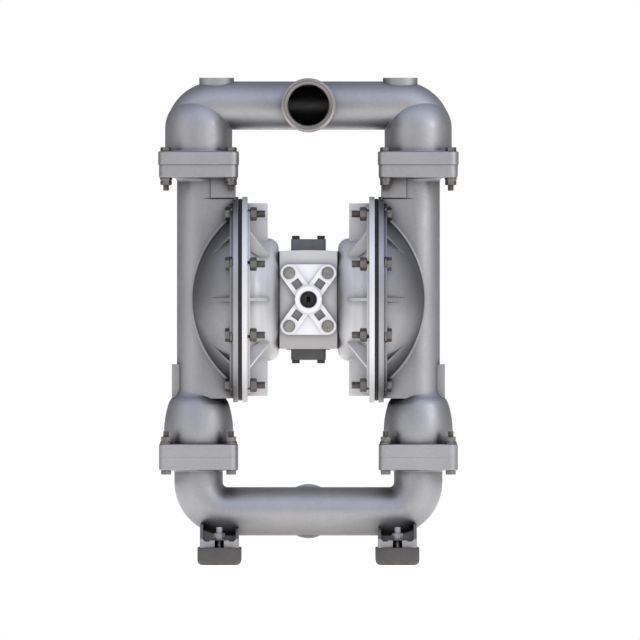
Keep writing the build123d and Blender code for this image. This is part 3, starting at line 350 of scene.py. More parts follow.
@dataclass(frozen=True)
class CastMetal:
    """A blasted casting: fine grain, soft unevenness, painted shade in corners and hollows, and lightened edges that
    are partly wear and partly a painted edge highlight.
    """

    name: str
    light: Colour
    dark: Colour
    # Lighter colour of grain tips and of edges; on edges it is partly wear and partly a painted edge highlight.
    rubbed_and_highlight: Colour
    # Colour of the painted shade laid into corners and hollows.
    painted_shade: Colour = grey(0.02, 0.02, 0.022)
    roughness: float = 0.42
    uneven: tuple[float, float] = (-0.05, 0.06)
    uneven_size: float = 7 * MM
    patch_size: float = 45 * MM
    grain: float = 1.5 * MM
    grain_depth: float = 0.07 * MM
    grain_share: float = 0.30
    pit_gap: float = 3.1 * MM
    pit_share: float = 0.22
    pit_depth_share: float = 0.6
    swell_size: float = 22 * MM
    swell_depth: float = 0.30 * MM
    edge_radius: float = 1.2 * MM
    rub_and_highlight_share: float = 0.45
    corner_reach: float = 10 * MM
    corner_shade: float = 0.45
    hollow_reach: float = 75 * MM
    hollow_shade: float = 0.85
    metallic: float = 1.0
    zones: tuple[tuple[Zone | Patch | Crease, Colour], ...] = ()

    def material(self) -> bpy.types.Material:
        """Builds the material.

        Returns:
            The material.
        """
        graph = Graph(bpy.data.materials.new(self.name))
        rounded = graph.rounded(self.edge_radius)
        colour = graph.blend(graph.spread(graph.noise(self.patch_size, 4), 0, 1), self.dark, self.light)
        fine = graph.noise(self.grain, 3)
        colour = graph.blend(graph.span(fine, 0.35, 0.7, 0.0, self.grain_share), colour, self.rubbed_and_highlight)
        for zone, paint in self.zones:
            colour = graph.blend(zone.mask(graph), colour, paint)
        # Painted shade: the colour darkens towards painted_shade in hollows and corners found by ambient occlusion.
        for reach, shade in ((self.hollow_reach, self.hollow_shade), (self.corner_reach, self.corner_shade)):
            colour = graph.blend(graph.shelter(reach, shade), colour, self.painted_shade)
        # Edges are lightened, partly as worn edges and partly as a painted edge highlight.
        colour = graph.blend(graph.times(graph.edges(rounded), self.rub_and_highlight_share), colour, self.rubbed_and_highlight)
        dull = graph.spread(graph.noise(self.uneven_size, 3), *(self.roughness + change for change in self.uneven))
        normal = graph.relief(graph.noise(self.swell_size, 2), self.swell_depth, rounded)
        normal = graph.relief(fine, self.grain_depth, normal)
        pits = graph.spots(self.pit_gap, self.pit_share)
        normal = graph.relief(pits, -self.grain_depth * self.pit_depth_share, normal)
        return graph.close({"Metallic": self.metallic}, {"Base Color": colour, "Roughness": dull, "Normal": normal})


@dataclass(frozen=True)
class TurnedMetal:
    """Machined or drawn metal with fine lines round or along one axis."""

    name: str
    light: Colour
    dark: Colour
    # Colour of the painted shade laid into corners.
    painted_shade: Colour = grey(0.02, 0.018, 0.016)
    roughness: float = 0.28
    uneven: tuple[float, float] = (-0.06, 0.08)
    patch_size: float = 9 * MM
    corner_reach: float = 6 * MM
    corner_shade: float = 0.6
    lines: float = 0.5 * MM
    stretch: tuple[float, float, float] = (1, 1, 1)
    line_depth: float = 0.015 * MM
    edge_radius: float = 0.5 * MM

    def material(self) -> bpy.types.Material:
        """Builds the material.

        Returns:
            The material.
        """
        graph = Graph(bpy.data.materials.new(self.name))
        rounded = graph.rounded(self.edge_radius)
        lines = graph.noise(self.lines, 2, self.stretch)
        colour = graph.blend(graph.spread(graph.noise(self.patch_size, 3), 0, 1), self.dark, self.light)
        # Painted shade: the colour darkens towards painted_shade in corners found by ambient occlusion.
        colour = graph.blend(graph.shelter(self.corner_reach, self.corner_shade, 0.2, 0.9), colour, self.painted_shade)
        dull = graph.spread(lines, *(self.roughness + change for change in self.uneven))
        normal = graph.relief(lines, self.line_depth, rounded)
        return graph.close({"Metallic": 1.0}, {"Base Color": colour, "Roughness": dull, "Normal": normal})


@dataclass(frozen=True)
class Coated:
    """A dull coating or moulding: fine texture, soft patches, scuffed edges."""

    name: str
    light: Colour
    dark: Colour
    scuffed: Colour
    roughness: float = 0.55
    uneven: tuple[float, float] = (-0.07, 0.08)
    uneven_size: float = 6 * MM
    patch_size: float = 16 * MM
    scuff_size: float = 5 * MM
    texture: float = 0.9 * MM
    texture_depth: float = 0.05 * MM
    edge_radius: float = 0.6 * MM
    level: float = 0.5

    def material(self) -> bpy.types.Material:
        """Builds the material.

        Returns:
            The material.
        """
        graph = Graph(bpy.data.materials.new(self.name))
        rounded = graph.rounded(self.edge_radius)
        colour = graph.blend(graph.spread(graph.noise(self.patch_size, 4), 0, 1), self.dark, self.light)
        rubs = graph.times(graph.edges(rounded), graph.span(graph.noise(self.scuff_size, 3), 0.4, 0.7, 0.1, 0.8))
        colour = graph.blend(rubs, colour, self.scuffed)
        dull = graph.spread(graph.noise(self.uneven_size, 3), *(self.roughness + change for change in self.uneven))
        normal = graph.relief(graph.noise(self.texture, 3), self.texture_depth, rounded)
        return graph.close({"Metallic": 0.0, "Specular IOR Level": self.level},
                           {"Base Color": colour, "Roughness": dull, "Normal": normal})


@dataclass(frozen=True)
class Fibre:
    """Compressed fibre sheet with short strands and a slight fleck."""

    name: str
    light: Colour
    dark: Colour
    strand: float = 0.8 * MM
    strand_depth: float = 0.08 * MM
    fleck_gap: float = 2.4 * MM
    fleck_share: float = 0.4

    def material(self) -> bpy.types.Material:
        """Builds the material.

        Returns:
            The material.
        """
        graph = Graph(bpy.data.materials.new(self.name))
        strands = graph.noise(self.strand, 4, (0.35, 1, 1))
        colour = graph.blend(graph.span(strands, 0.35, 0.65, 0, 1), self.dark, self.light)
        colour = graph.blend(graph.times(graph.spots(self.fleck_gap, 0.3), self.fleck_share), colour, self.light)
        normal = graph.relief(strands, self.strand_depth)
        return graph.close({"Metallic": 0.0, "Specular IOR Level": 0.25, "Roughness": 0.85},
                           {"Base Color": colour, "Normal": normal})


Finish = CastMetal | TurnedMetal | Coated | Fibre
# Painted shade: the exhaust bore is painted dark grey where shade falls inside it.
EXHAUST_BORE_SHADE = (Zone(axis=1, middle=(0, -80 * MM, SHAFT_Z), half_length=52 * MM, outer=11.9 * MM), grey(0.10, 0.10, 0.10))
# Painted shade: the lower part of the centre block is darkened and warmed, where it falls into shade.
BLOCK_LOWER_SHADE = (Patch(middle=(0, -80 * MM, 285 * MM), radii=(110 * MM, 60 * MM, 50 * MM), share=0.9),
              grey(0.42, 0.385, 0.355))

FINISHES = {
    Slot.CAST_STAINLESS: CastMetal("blasted stainless casting", grey(0.38, 0.38, 0.385), grey(0.345, 0.345, 0.35),
                                   grey(0.50, 0.50, 0.50)),
    Slot.CAST_ALUMINIUM: CastMetal("bright aluminium casting", grey(0.69, 0.69, 0.685), grey(0.63, 0.63, 0.625),
                                   grey(0.95, 0.95, 0.94), roughness=0.46, grain=0.8 * MM, edge_radius=0.9 * MM,
                                   corner_shade=0.25, hollow_reach=38 * MM, hollow_shade=0.35, metallic=0.4),
    Slot.BLOCK_ALUMINIUM: CastMetal("centre block aluminium", grey(0.63, 0.63, 0.63), grey(0.59, 0.59, 0.59),
                                    grey(0.80, 0.80, 0.79), roughness=0.40, grain=0.7 * MM, swell_depth=0.1 * MM,
                                    hollow_shade=0.3, metallic=0.8, zones=(BLOCK_LOWER_SHADE, EXHAUST_BORE_SHADE)),
    Slot.FASTENER_STEEL: TurnedMetal("fastener steel", grey(0.225, 0.21, 0.192), grey(0.165, 0.154, 0.14),
                                     roughness=0.38, lines=0.7 * MM),
    Slot.DARK_CAP: Coated("dark cap coating", grey(0.195, 0.198, 0.212), grey(0.160, 0.163, 0.175),
                          grey(0.22, 0.22, 0.23), roughness=0.50),
    Slot.POLISHED_STEEL: TurnedMetal("ground shaft steel", grey(0.62, 0.62, 0.63), grey(0.55, 0.55, 0.56),
                                     roughness=0.16, lines=0.4 * MM, stretch=(1, 0.05, 0.05), line_depth=0.004 * MM),
    Slot.BRONZE: TurnedMetal("bushing bronze", grey(0.55, 0.36, 0.17), grey(0.45, 0.28, 0.13), roughness=0.3,
                             stretch=(1, 0.05, 0.05)),
    Slot.PTFE: Coated("white fluoropolymer", grey(0.80, 0.80, 0.78), grey(0.74, 0.74, 0.71), grey(0.85, 0.85, 0.84),
                      roughness=0.38, texture=0.6 * MM, texture_depth=0.01 * MM),
    Slot.GASKET: Fibre("gasket fibre", grey(0.040, 0.042, 0.046), grey(0.018, 0.019, 0.021)),
    Slot.BLACK_RUBBER: Coated("black rubber", grey(0.022, 0.022, 0.023), grey(0.014, 0.014, 0.015),
                              grey(0.05, 0.05, 0.05), roughness=0.62, texture=0.5 * MM, texture_depth=0.02 * MM),
    Slot.FOOT_RUBBER: Coated("foot rubber", grey(0.088, 0.082, 0.074), grey(0.066, 0.062, 0.057),
                             grey(0.14, 0.13, 0.12), roughness=0.60, texture=0.6 * MM, texture_depth=0.03 * MM),
}


def manifold_finish(name: str, pipe_z: float, sign: int) -> CastMetal:
    """Gives the stainless casting with painted shade inside its bores and a turned port.

    Args:
        name: Name of the finish.
        pipe_z: Height of the pipe's middle.
        sign: Side that the port faces, by the sign of Y.

    Returns:
        The finish.
    """
    bore, throat_bore, chamfer, rim, lip = 28.5 * MM, 29.6 * MM, 27.9 * MM, 37 * MM, (31.0 * MM, 33.3 * MM)
    port, throat = (0, sign * 98 * MM, pipe_z), (0, sign * 45 * MM, pipe_z)
    half_run, half_throat, half_bevel, half_front = 128 * MM, 50.5 * MM, 3.4 * MM, 0.4 * MM
    # The inside colour is painted shade: the bores are painted dark where shade falls inside them.
    inside, bevel, front = grey(0.17, 0.17, 0.167), grey(0.46, 0.43, 0.395), grey(0.20, 0.19, 0.175)
    return replace(FINISHES[Slot.CAST_STAINLESS], name=name, hollow_shade=0.40,
                   zones=((Zone(0, (0, 0, pipe_z), half_run, bore), inside),
                          (Zone(1, throat, half_throat, throat_bore), inside),
                          (Zone(1, port, half_bevel, rim, chamfer), bevel),
                          (Zone(1, port, half_front, lip[1], lip[0]), front)))


def air_chamber_finish() -> CastMetal:
    """Gives the bright casting with its turned rim painted near white, partly its turned finish and partly a painted
    reflection, and painted shade where the drum meets the block.

    Returns:
        The finish.
    """
    low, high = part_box("air_chamber_right")
    # The rim colour is partly the turned face's own tone and partly a painted reflection; the shade colour is painted
    # shade where the drum meets the block.
    rim, shade = grey(0.98, 0.975, 0.96), grey(0.10, 0.10, 0.10)
    middle_z = (low.z + high.z) / 2
    rims = [(Zone(axis=0, middle=(side.value * (high.x - 3.5 * MM), 0, middle_z), half_length=3.8 * MM,
                  outer=400 * MM, inner=146 * MM), rim) for side in Side]
    hollows = [(Patch(middle=(side.value * low.x, -80 * MM, middle_z), radii=(20 * MM, 90 * MM, 75 * MM), share=0.85),
                shade) for side in Side]
    return replace(FINISHES[Slot.CAST_ALUMINIUM], name="air chamber casting", zones=(*rims, *hollows))


def liquid_chamber_finish() -> CastMetal:
    """Gives the stainless casting with painted shade beside the riser and painted shade low on both domes, heavier on
    the left.

    Returns:
        The finish.
    """
    # Painted shade: both domes are darkened low down, the left one more than the right.
    dome_shades = [(Patch(middle=(side * 130 * MM, -100 * MM, 305 * MM), radii=(50 * MM, 80 * MM, 75 * MM), share=share),
              grey(0.13, 0.13, 0.13)) for side, share in ((-1, 0.38), (1, 0.12))]
    crease = Crease(riser_radius=33.4 * MM, near=52 * MM, far=92 * MM, dome_radius=126 * MM, share=0.70)
    return replace(FINISHES[Slot.CAST_STAINLESS], name="liquid chamber casting", corner_reach=13 * MM,
                   corner_shade=0.70, zones=(*dome_shades, (crease, grey(0.08, 0.08, 0.08))))


def special_finishes() -> dict[str, Finish]:
    """Gives the castings whose finish differs from their slot's usual one.

    Returns:
        Name of the node to its finish.
    """
    air, liquid, cap = air_chamber_finish(), liquid_chamber_finish(), FINISHES[Slot.DARK_CAP]
    return {
        "air_chamber_left": air,
        "air_chamber_right": air,
        "outer_chamber_left": liquid,
        "outer_chamber_right": liquid,
        # Painted light and painted shade: the top cap's coating is painted lighter and the bottom cap's darker, from
        # one coating.
        "end_cap_top": replace(cap, name="top cap painted light coating", light=grey(0.27, 0.273, 0.288),
                               dark=grey(0.225, 0.229, 0.245)),
        "end_cap_bottom": replace(cap, name="bottom cap painted shade coating", light=grey(0.150, 0.150, 0.152),
                                  dark=grey(0.125, 0.125, 0.127)),
        "exhaust_plate": replace(FINISHES[Slot.CAST_ALUMINIUM], name="exhaust plate casting",
                                 light=grey(0.90, 0.90, 0.895), dark=grey(0.85, 0.85, 0.845), hollow_shade=0.1,
                                 zones=(EXHAUST_BORE_SHADE,)),
        "inlet_manifold": manifold_finish("inlet manifold casting", INLET_Z, 1),
        "discharge_manifold": manifold_finish("discharge manifold casting", DISCHARGE_Z, -1),
    }


class FinishRack:
    """Builds each finish once and hands it out."""

    def __init__(self) -> None:
        """Starts with no finish built."""
        self.built: dict[str, bpy.types.Material] = {}

    def get(self, slot: Slot, finish: Finish | None = None) -> bpy.types.Material:
        """Gives a material.

        Args:
            slot: The record's slot.
            finish: Finish to use in place of the slot's usual one.

        Returns:
            The material.
        """
        finish = finish or FINISHES[slot]
        if finish.name not in self.built:
            self.built[finish.name] = finish.material()
        return self.built[finish.name]


class Shell:
    """Vertices and faces of a piece while it is built."""

    def __init__(self) -> None:
        """Starts empty."""
        self.points: list[Vector] = []
        self.faces: list[tuple[int, ...]] = []

    def loft(self, rings: Sequence[Sequence[Vector]], place: Matrix, closed: bool = False,
             lids: tuple[bool, bool] = (False, False)) -> None:
        """Joins rings of points with faces.

        Args:
            rings: Loops with the same number of points.
            place: Where the local Z axis and origin go.
            closed: Whether the last ring joins the first.
            lids: Whether the first and the last ring are filled.
        """
        start = len(self.points)
        count = len(rings[0])
        for ring in rings:
            self.points += [place @ point for point in ring]
        total = len(rings)
        for level in range(total if closed else total - 1):
            low = start + level * count
            high = start + (level + 1) % total * count
            for step in range(count):
                after = (step + 1) % count
                self.faces.append((low + step, low + after, high + after, high + step))
        if lids[0]:
            self.faces.append(tuple(start + step for step in reversed(range(count))))
        if lids[1]:
            self.faces.append(tuple(start + (total - 1) * count + step for step in range(count)))

    def lathe(self, profile: Profile, place: Matrix, steps: int = 48, closed: bool = False,
              lids: tuple[bool, bool] = (False, False)) -> None:
        """Turns a profile round the local Z axis.

        Args:
            profile: Radius and height of each point, each one value or a value by angle.
            place: Where the local Z axis and origin go.
            steps: Points round the axis.
            closed: Whether the last point joins the first.
            lids: Whether the first and the last ring are filled.
        """
        self.loft([around(radius, height, steps) for radius, height in profile], place, closed, lids)

    def piece(self, name: str, material: bpy.types.Material, crease: float = 35.0) -> bpy.types.Object:
        """Makes the object.

        Args:
            name: Its name.
            material: Its finish.
            crease: Edges sharper than this many degrees stay crisp.

        Returns:
            The new object.
        """
        mesh = bpy.data.meshes.new(name)
        mesh.from_pydata(self.points, [], self.faces)
        work = bmesh.new()
        work.from_mesh(mesh)
        bmesh.ops.remove_doubles(work, verts=work.verts, dist=1e-6)
        bmesh.ops.recalc_face_normals(work, faces=work.faces)
        for edge in work.edges:
            edge.smooth = len(edge.link_faces) != 2 or edge.calc_face_angle(0) < math.radians(crease)
        for face in work.faces:
            face.smooth = True
        work.to_mesh(mesh)
        work.free()
        mesh.materials.append(material)
        return put(name, mesh)


def put(name: str, data: bpy.types.ID) -> bpy.types.Object:
    """Puts a new object into the scene.

    Args:
        name: Its name.
        data: Its mesh, curve, lamp or camera.

    Returns:
        The object.
    """
    made = bpy.data.objects.new(name, data)
    bpy.context.scene.collection.objects.link(made)
    return made


def around(radius: Level, height: Level, steps: int) -> list[Vector]:
    """Makes one ring of points.

    Args:
        radius: One radius, or the radius by angle.
        height: One height, or the height by angle.
        steps: Points in the ring.

    Returns:
        The points.
    """
    ring = []
    for step in range(steps):
        angle = 2 * math.pi * step / steps
        reach, level = (size(angle) if callable(size) else size for size in (radius, height))
        ring.append(Vector((reach * math.cos(angle), reach * math.sin(angle), level)))
    return ring


def hexagon_radius(flats: float, angle: float) -> float:
    """Gives the distance from the middle of a hexagon to its outline, at an angle in radians."""
    sixth = math.pi / 3
    return flats / 2 / math.cos((angle + sixth / 2) % sixth - sixth / 2)


def aim(origin: Vector, direction: Vector) -> Matrix:
    """Moves the local origin to a point and turns the local Z axis to a direction."""
    turn = Vector((0, 0, 1)).rotation_difference(direction.normalized())
    return Matrix.Translation(origin) @ turn.to_matrix().to_4x4()


def compass(angle: float) -> Vector:
    """Gives the flat direction at an angle in radians."""
    return Vector((math.cos(angle), math.sin(angle)))


def solids(node: str) -> list[tuple[Vector, Vector]]:
    """Finds the separate solids of a node.

    Args:
        node: Name of the CAD node.

    Returns:
        Lowest and highest corner of each solid.
    """
    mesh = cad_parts[node].data
    spots: dict[tuple[int, ...], int] = {}
    owner = [spots.setdefault(tuple(round(part * 1e5) for part in vertex.co), vertex.index)
             for vertex in mesh.vertices]
    parent = list(range(len(owner)))

    def root(index: int) -> int:
        """Follows a point to the first point of its solid.

        Args:
            index: The point.

        Returns:
            The first point.
        """
        while parent[index] != index:
            parent[index] = parent[parent[index]]
            index = parent[index]
        return index

    for edge in mesh.edges:
        first, second = (root(owner[index]) for index in edge.vertices)
        parent[first] = second
    groups: dict[int, list[Vector]] = {}
    for vertex in mesh.vertices:
        groups.setdefault(root(owner[vertex.index]), []).append(vertex.co)
    return [(Vector(min(point[axis] for point in points) for axis in range(3)),
             Vector(max(point[axis] for point in points) for axis in range(3))) for points in groups.values()]


class Workshop:
    """Hands out finishes, and puts each finished piece on its body."""

    def __init__(self) -> None:
        """Opens with an empty rack of finishes."""
        self.rack = FinishRack()

    def paint(self, node: str, slot: Slot, finish: Finish | None = None) -> None:
        """Gives a CAD node its finish.

        Args:
            node: Name of the node.
            slot: Its slot.
            finish: Finish to use in place of the slot's usual one.
        """
        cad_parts[node].material_slots[0].material = self.rack.get(slot, finish)
        log.info("finished %s as %s", node, slot.value)

    def mount(self, piece: bpy.types.Object, slot: Slot, nodes: Sequence[str], body: Body = Body.HOUSING) -> None:
        """Puts a new piece in place of CAD nodes.

        Args:
            piece: The piece.
            slot: Not used.
            nodes: Nodes that it stands for.
            body: Body that it rides on.
        """
        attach(piece, body.value)
        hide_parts(*nodes)
        log.info("built %s with %d faces for %s", piece.name, len(piece.data.polygons), ", ".join(nodes))

    def make(self, shell: Shell, name: str, slot: Slot, nodes: Sequence[str], crease: float = 35.0,
             finish: Finish | None = None) -> None:
        """Builds and mounts a piece on the housing.

        Args:
            shell: Its surface.
            name: Its name.
            slot: Its slot.
            nodes: Nodes that it stands for.
            crease: Edges sharper than this many degrees stay crisp.
            finish: Finish to use in place of the slot's usual one.
        """
        self.mount(shell.piece(name, self.rack.get(slot, finish), crease), slot, nodes)


@dataclass
class Castings:
    """Castings and turned parts that keep the frame's own surface."""

    shop: Workshop
    plan: tuple[tuple[Slot, tuple[str, ...]], ...] = (
        (Slot.CAST_STAINLESS, ("outer_chamber_left", "outer_chamber_right", "outer_piston_left",
                               "outer_piston_right", "inlet_manifold", "discharge_manifold")),
        (Slot.CAST_ALUMINIUM, ("air_chamber_left", "air_chamber_right", "exhaust_plate", "inner_piston_left",
                               "inner_piston_right")),
        (Slot.BLOCK_ALUMINIUM, ("center_block",)),
        (Slot.DARK_CAP, ("air_valve_body", "end_cap_top", "end_cap_bottom")),
        (Slot.POLISHED_STEEL, ("main_shaft", "pilot_spool", "valve_spool")),
        (Slot.BRONZE, ("shaft_bushings", "pilot_sleeve")),
        (Slot.PTFE, ("valve_seats", "inlet_ball_left", "inlet_ball_right", "discharge_ball_left",
                     "discharge_ball_right")),
    )

    def dress(self) -> None:
        """Gives every kept node its finish."""
        special = special_finishes()
        for slot, nodes in self.plan:
            for node in nodes:
                self.shop.paint(node, slot, special.get(node))


@dataclass(frozen=True)
class Thread:
    """An outside screw thread along the local Z axis."""

    radius: float
    pitch: float
    steps: int = 24
    rows: int = 6
    depth_share: float = 0.40
    lead_share: float = 1.3
    flank: float = 3.2
    flat: float = 0.3

    @property
    def depth(self) -> float:
        """Depth from crest to root."""
        return self.depth_share * self.pitch

    def level(self, height: float, angle: float) -> float:
        """Gives how deep the surface lies below the crest, at a height and an angle in radians."""
        share = (height / self.pitch - angle / (2 * math.pi)) % 1.0
        return self.depth * min(1.0, max(0.0, self.flank * abs(share - 0.5) - self.flat))

    def add(self, shell: Shell, place: Matrix, bottom: float, top: float) -> None:
        """Cuts the thread on a rod with a chamfered lower end.

        Args:
            shell: What it is added to.
            place: Where the local Z axis and origin go.
            bottom: Lower end.
            top: Upper end.
        """
        count = max(2, round((top - bottom) / self.pitch * self.rows))
        lead = self.lead_share * self.depth
        profile = [(self.radius - lead, bottom)]
        for index in range(count + 1):
            height = bottom + (top - bottom) * index / count
            chamfer = max(0.0, lead - (height - bottom))
            profile.append((lambda angle, z=height, cut=chamfer: self.radius - max(cut, self.level(z, angle)), height))
        shell.lathe(profile, place, self.steps, lids=(True, True))


@dataclass(frozen=True)
class HexShape:
    """A chamfered hexagon with its seat at 0: a bolt head, or a nut where it has a bore."""

    flats: float
    height: float
    steps: int = 48
    face_share: float = 0.485
    chamfer: float = math.radians(30)

    @property
    def face(self) -> float:
        """Radius of the flat face inside the corner chamfer."""
        return self.face_share * self.flats

    def outline(self, angle: float) -> float:
        """Gives the hexagon's radius, with corners at angle 0."""
        return hexagon_radius(self.flats, angle + math.pi / 6)

    def shoulder(self, angle: float) -> float:
        """Gives how far the corner chamfer cuts down the side at an angle."""
        return max(0.0, (self.outline(angle) - self.face) * math.tan(self.chamfer))

    def crown(self, angle: float) -> float:
        """Gives how high the side reaches at an angle."""
        return self.height - self.shoulder(angle)

    def head(self, shell: Shell, place: Matrix) -> None:
        """Adds a bolt head with a washer face and a slightly dished top.

        Args:
            shell: What it is added to.
            place: Where the seat goes.
        """
        seat, rim = 0.47 * self.flats, 0.06 * self.height
        dish, floor, bottom = 0.40 * self.flats, 0.37 * self.flats, 0.96 * self.height
        shell.lathe(((seat, 0.0), (seat, rim), (self.outline, rim), (self.outline, self.crown),
                     (self.face, self.height), (dish, self.height), (floor, bottom)), place, self.steps,
                    lids=(True, True))

    def nut(self, shell: Shell, place: Matrix, bore: float, collar: float = 0.0) -> None:
        """Adds a nut.

        Args:
            shell: What it is added to.
            place: Where the seat goes.
            bore: Radius of its bore.
            collar: Radius of the cone that it widens to at the seat, or 0 for a plain nut.
        """
        mouth, lead, cone = bore + 0.07 * self.flats, 0.07 * self.height, 0.30 * self.height
        foot = ((self.face, 0.0), (self.outline, self.shoulder))
        if collar:
            foot = ((collar - 0.3 * MM, 0.0), (collar, 0.35 * MM), (collar, 0.8 * MM),
                    (lambda angle: min(self.outline(angle), 0.55 * self.flats), cone),
                    (self.outline, lambda angle: cone + 0.5 * self.shoulder(angle)))
        shell.lathe(((mouth, 0.0), *foot, (self.outline, self.crown), (self.face, self.height), (mouth, self.height),
                     (bore, self.height - lead), (bore, lead)), place, self.steps, closed=True)


@dataclass(frozen=True)
class SocketHead:
    """A round screw head with a knurled side and a hexagon socket."""

    radius: float
    height: float
    socket: float
    steps: int = 48
    knurls: int = 24
    knurl_share: float = 0.018

    def side(self, angle: float) -> float:
        """Gives the radius of the side, with shallow knurls."""
        return self.radius * (1 - self.knurl_share * (0.5 + 0.5 * math.cos(self.knurls * angle)))

    def wall(self, angle: float) -> float:
        """Gives the radius of the socket's wall."""
        return hexagon_radius(self.socket, angle)

    def add(self, shell: Shell, place: Matrix) -> None:
        """Adds the head.

        Args:
            shell: What it is added to.
            place: Where the seat goes.
        """
        edge, floor = 0.09 * self.radius, 0.42 * self.height
        shell.lathe(((self.radius - edge, 0.0), (self.side, edge), (self.side, self.height - 1.6 * edge),
                     (self.radius - 1.4 * edge, self.height), (0.62 * self.socket, self.height),
                     (self.wall, self.height - 0.5 * edge), (self.wall, floor),
                     (0.05 * self.socket, floor - 0.1 * self.height)), place, self.steps, lids=(True, True))


@dataclass
class BoltSet:
    """Hexagon bolts of one size with their nuts and washers, in place of the frame's plain ones."""

    shop: Workshop
    label: str
    bolts: str
    nuts: str
    washers: str
    outward: Vector
    flats: float
    head: float
    radius: float
    pitch: float
    thread: float
    collar: float = 0.0
    play: float = 0.02 * MM
    washer_play: float = 0.4 * MM

    def span(self, box: tuple[Vector, Vector]) -> tuple[Vector, Vector]:
        """Finds a solid's two ends along the bolt axis.

        Args:
            box: Its lowest and highest corner.

        Returns:
            The end that faces inward, then the end that faces outward.
        """
        middle = (box[0] + box[1]) / 2
        reach = abs((box[1] - box[0]).dot(self.outward)) / 2
        return middle - self.outward * reach, middle + self.outward * reach

    def build(self) -> None:
        """Builds bolts, nuts and washers."""
        shell = Shell()
        hexagon = HexShape(self.flats, self.head)
        for box in solids(self.bolts):
            tip, top = self.span(box)
            length = (top - tip).length - self.head
            place = aim(top - self.outward * self.head, self.outward)
            hexagon.head(shell, place)
            thread_end = self.thread - length
            shank = self.radius - self.play
            shell.lathe(((shank, thread_end), (shank, 0.5 * self.head)), place, 24, lids=(True, True))
            Thread(shank, self.pitch).add(shell, place, -length, thread_end)
        self.shop.make(shell, self.label + "_bolts_threaded", Slot.FASTENER_STEEL, [self.bolts])
        shell = Shell()
        for box in solids(self.nuts):
            low, high = self.span(box)
            if self.collar:
                place = aim(high, -self.outward) @ Matrix.Rotation(math.pi / 6, 4, "Z")
            else:
                place = aim(low, self.outward)
            HexShape(self.flats, (high - low).length).nut(shell, place, self.radius + self.play, self.collar)
        self.shop.make(shell, self.label + "_nuts_chamfered", Slot.FASTENER_STEEL, [self.nuts])
        shell = Shell()
        for box in solids(self.washers):
            low, high = self.span(box)
            across = sorted(box[1] - box[0])[-1] / 2
            Washer(across, self.radius + self.washer_play, (high - low).length).add(shell, aim(low, self.outward))
        self.shop.make(shell, self.label + "_washers_rounded", Slot.FASTENER_STEEL, [self.washers])


@dataclass(frozen=True)
class Washer:
    """A stamped washer: rounded edge on one face, a sharper one on the other."""

    outer: float
    bore: float
    height: float

    def add(self, shell: Shell, place: Matrix) -> None:
        """Adds the washer.

        Args:
            shell: What it is added to.
            place: Where its lower face goes.
        """
        soft = 0.3 * self.height
        shell.lathe(((self.bore, soft), (self.bore + soft, 0), (self.outer - soft / 2, 0), (self.outer, soft / 2),
                     (self.outer, self.height - soft), (self.outer - 0.3 * soft, self.height - 0.3 * soft),
                     (self.outer - soft, self.height), (self.bore + soft, self.height),
                     (self.bore, self.height - soft)), place, 40, closed=True)


@dataclass
class ScrewSet:
    """Socket head screws in place of the frame's plain ones."""

    shop: Workshop
    label: str
    node: str
    slot: Slot
    head_radius: float = 5.3 * MM
    head_height: float = 4.6 * MM
    radius: float = 3.0 * MM
    pitch: float = 1.0 * MM
    socket: float = 5.0 * MM
    finish: Finish | None = None

    def outward(self, box: tuple[Vector, Vector]) -> Vector:
        """Finds which way a screw's head points.

        Args:
            box: Lowest and highest corner of the screw.

        Returns:
            The direction, along its longest side and away from the pump's middle.
        """
        sides = box[1] - box[0]
        axis = max(range(3), key=lambda index: sides[index])
        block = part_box("center_block")
        away = box[0][axis] + box[1][axis] - block[0][axis] - block[1][axis]
        direction = Vector((0, 0, 0))
        direction[axis] = 1.0 if away > 0 else -1.0
        return direction

    def build(self) -> None:
        """Builds the screws."""
        shell = Shell()
        for box in solids(self.node):
            outward = self.outward(box)
            middle = (box[0] + box[1]) / 2
            reach = abs((box[1] - box[0]).dot(outward)) / 2
            place = aim(middle + outward * (reach - self.head_height), outward)
            SocketHead(self.head_radius, self.head_height, self.socket).add(shell, place)
            Thread(self.radius, self.pitch).add(shell, place, self.head_height - 2 * reach, 0.4 * self.head_height)
        self.shop.make(shell, self.label, self.slot, [self.node], finish=self.finish)


@dataclass
class PlateScrews:
    """Round headed screws of the exhaust plate, flat on top with a soft edge."""

    shop: Workshop
    node: str = "plate_screws"
    head_radius: float = 7.4 * MM
    head_height: float = 5.5 * MM
    radius: float = 4.0 * MM
    pitch: float = 1.25 * MM
    play: float = 0.02 * MM
    soft: float = 0.2 * MM
    edge: float = 0.7 * MM
    dip: float = 0.25 * MM
    dimple: float = 0.9 * MM

    def build(self) -> None:
        """Builds the four screws, heads to the front."""
        shell = Shell()
        top, rim, soft = self.head_height, self.head_radius, self.soft
        for low, high in solids(self.node):
            place = aim(Vector(((low.x + high.x) / 2, low.y + top, (low.z + high.z) / 2)), Vector((0, -1, 0)))
            shell.lathe(((rim - soft, 0), (rim, soft), (rim, top - self.edge), (rim - soft, top - self.dip),
                         (rim - self.edge, top), (self.dimple, top), (self.dimple / 2, top - self.dip)), place, 56,
                        lids=(True, True))
            Thread(self.radius - self.play, self.pitch).add(shell, place, top - (high.y - low.y), 1 * MM)
        finish = replace(FINISHES[Slot.FASTENER_STEEL], name="plate screw steel", light=grey(0.33, 0.32, 0.285),
                         dark=grey(0.24, 0.23, 0.205), roughness=0.45)
        self.shop.make(shell, "plate_screws_round_head", Slot.FASTENER_STEEL, [self.node], 50, finish)


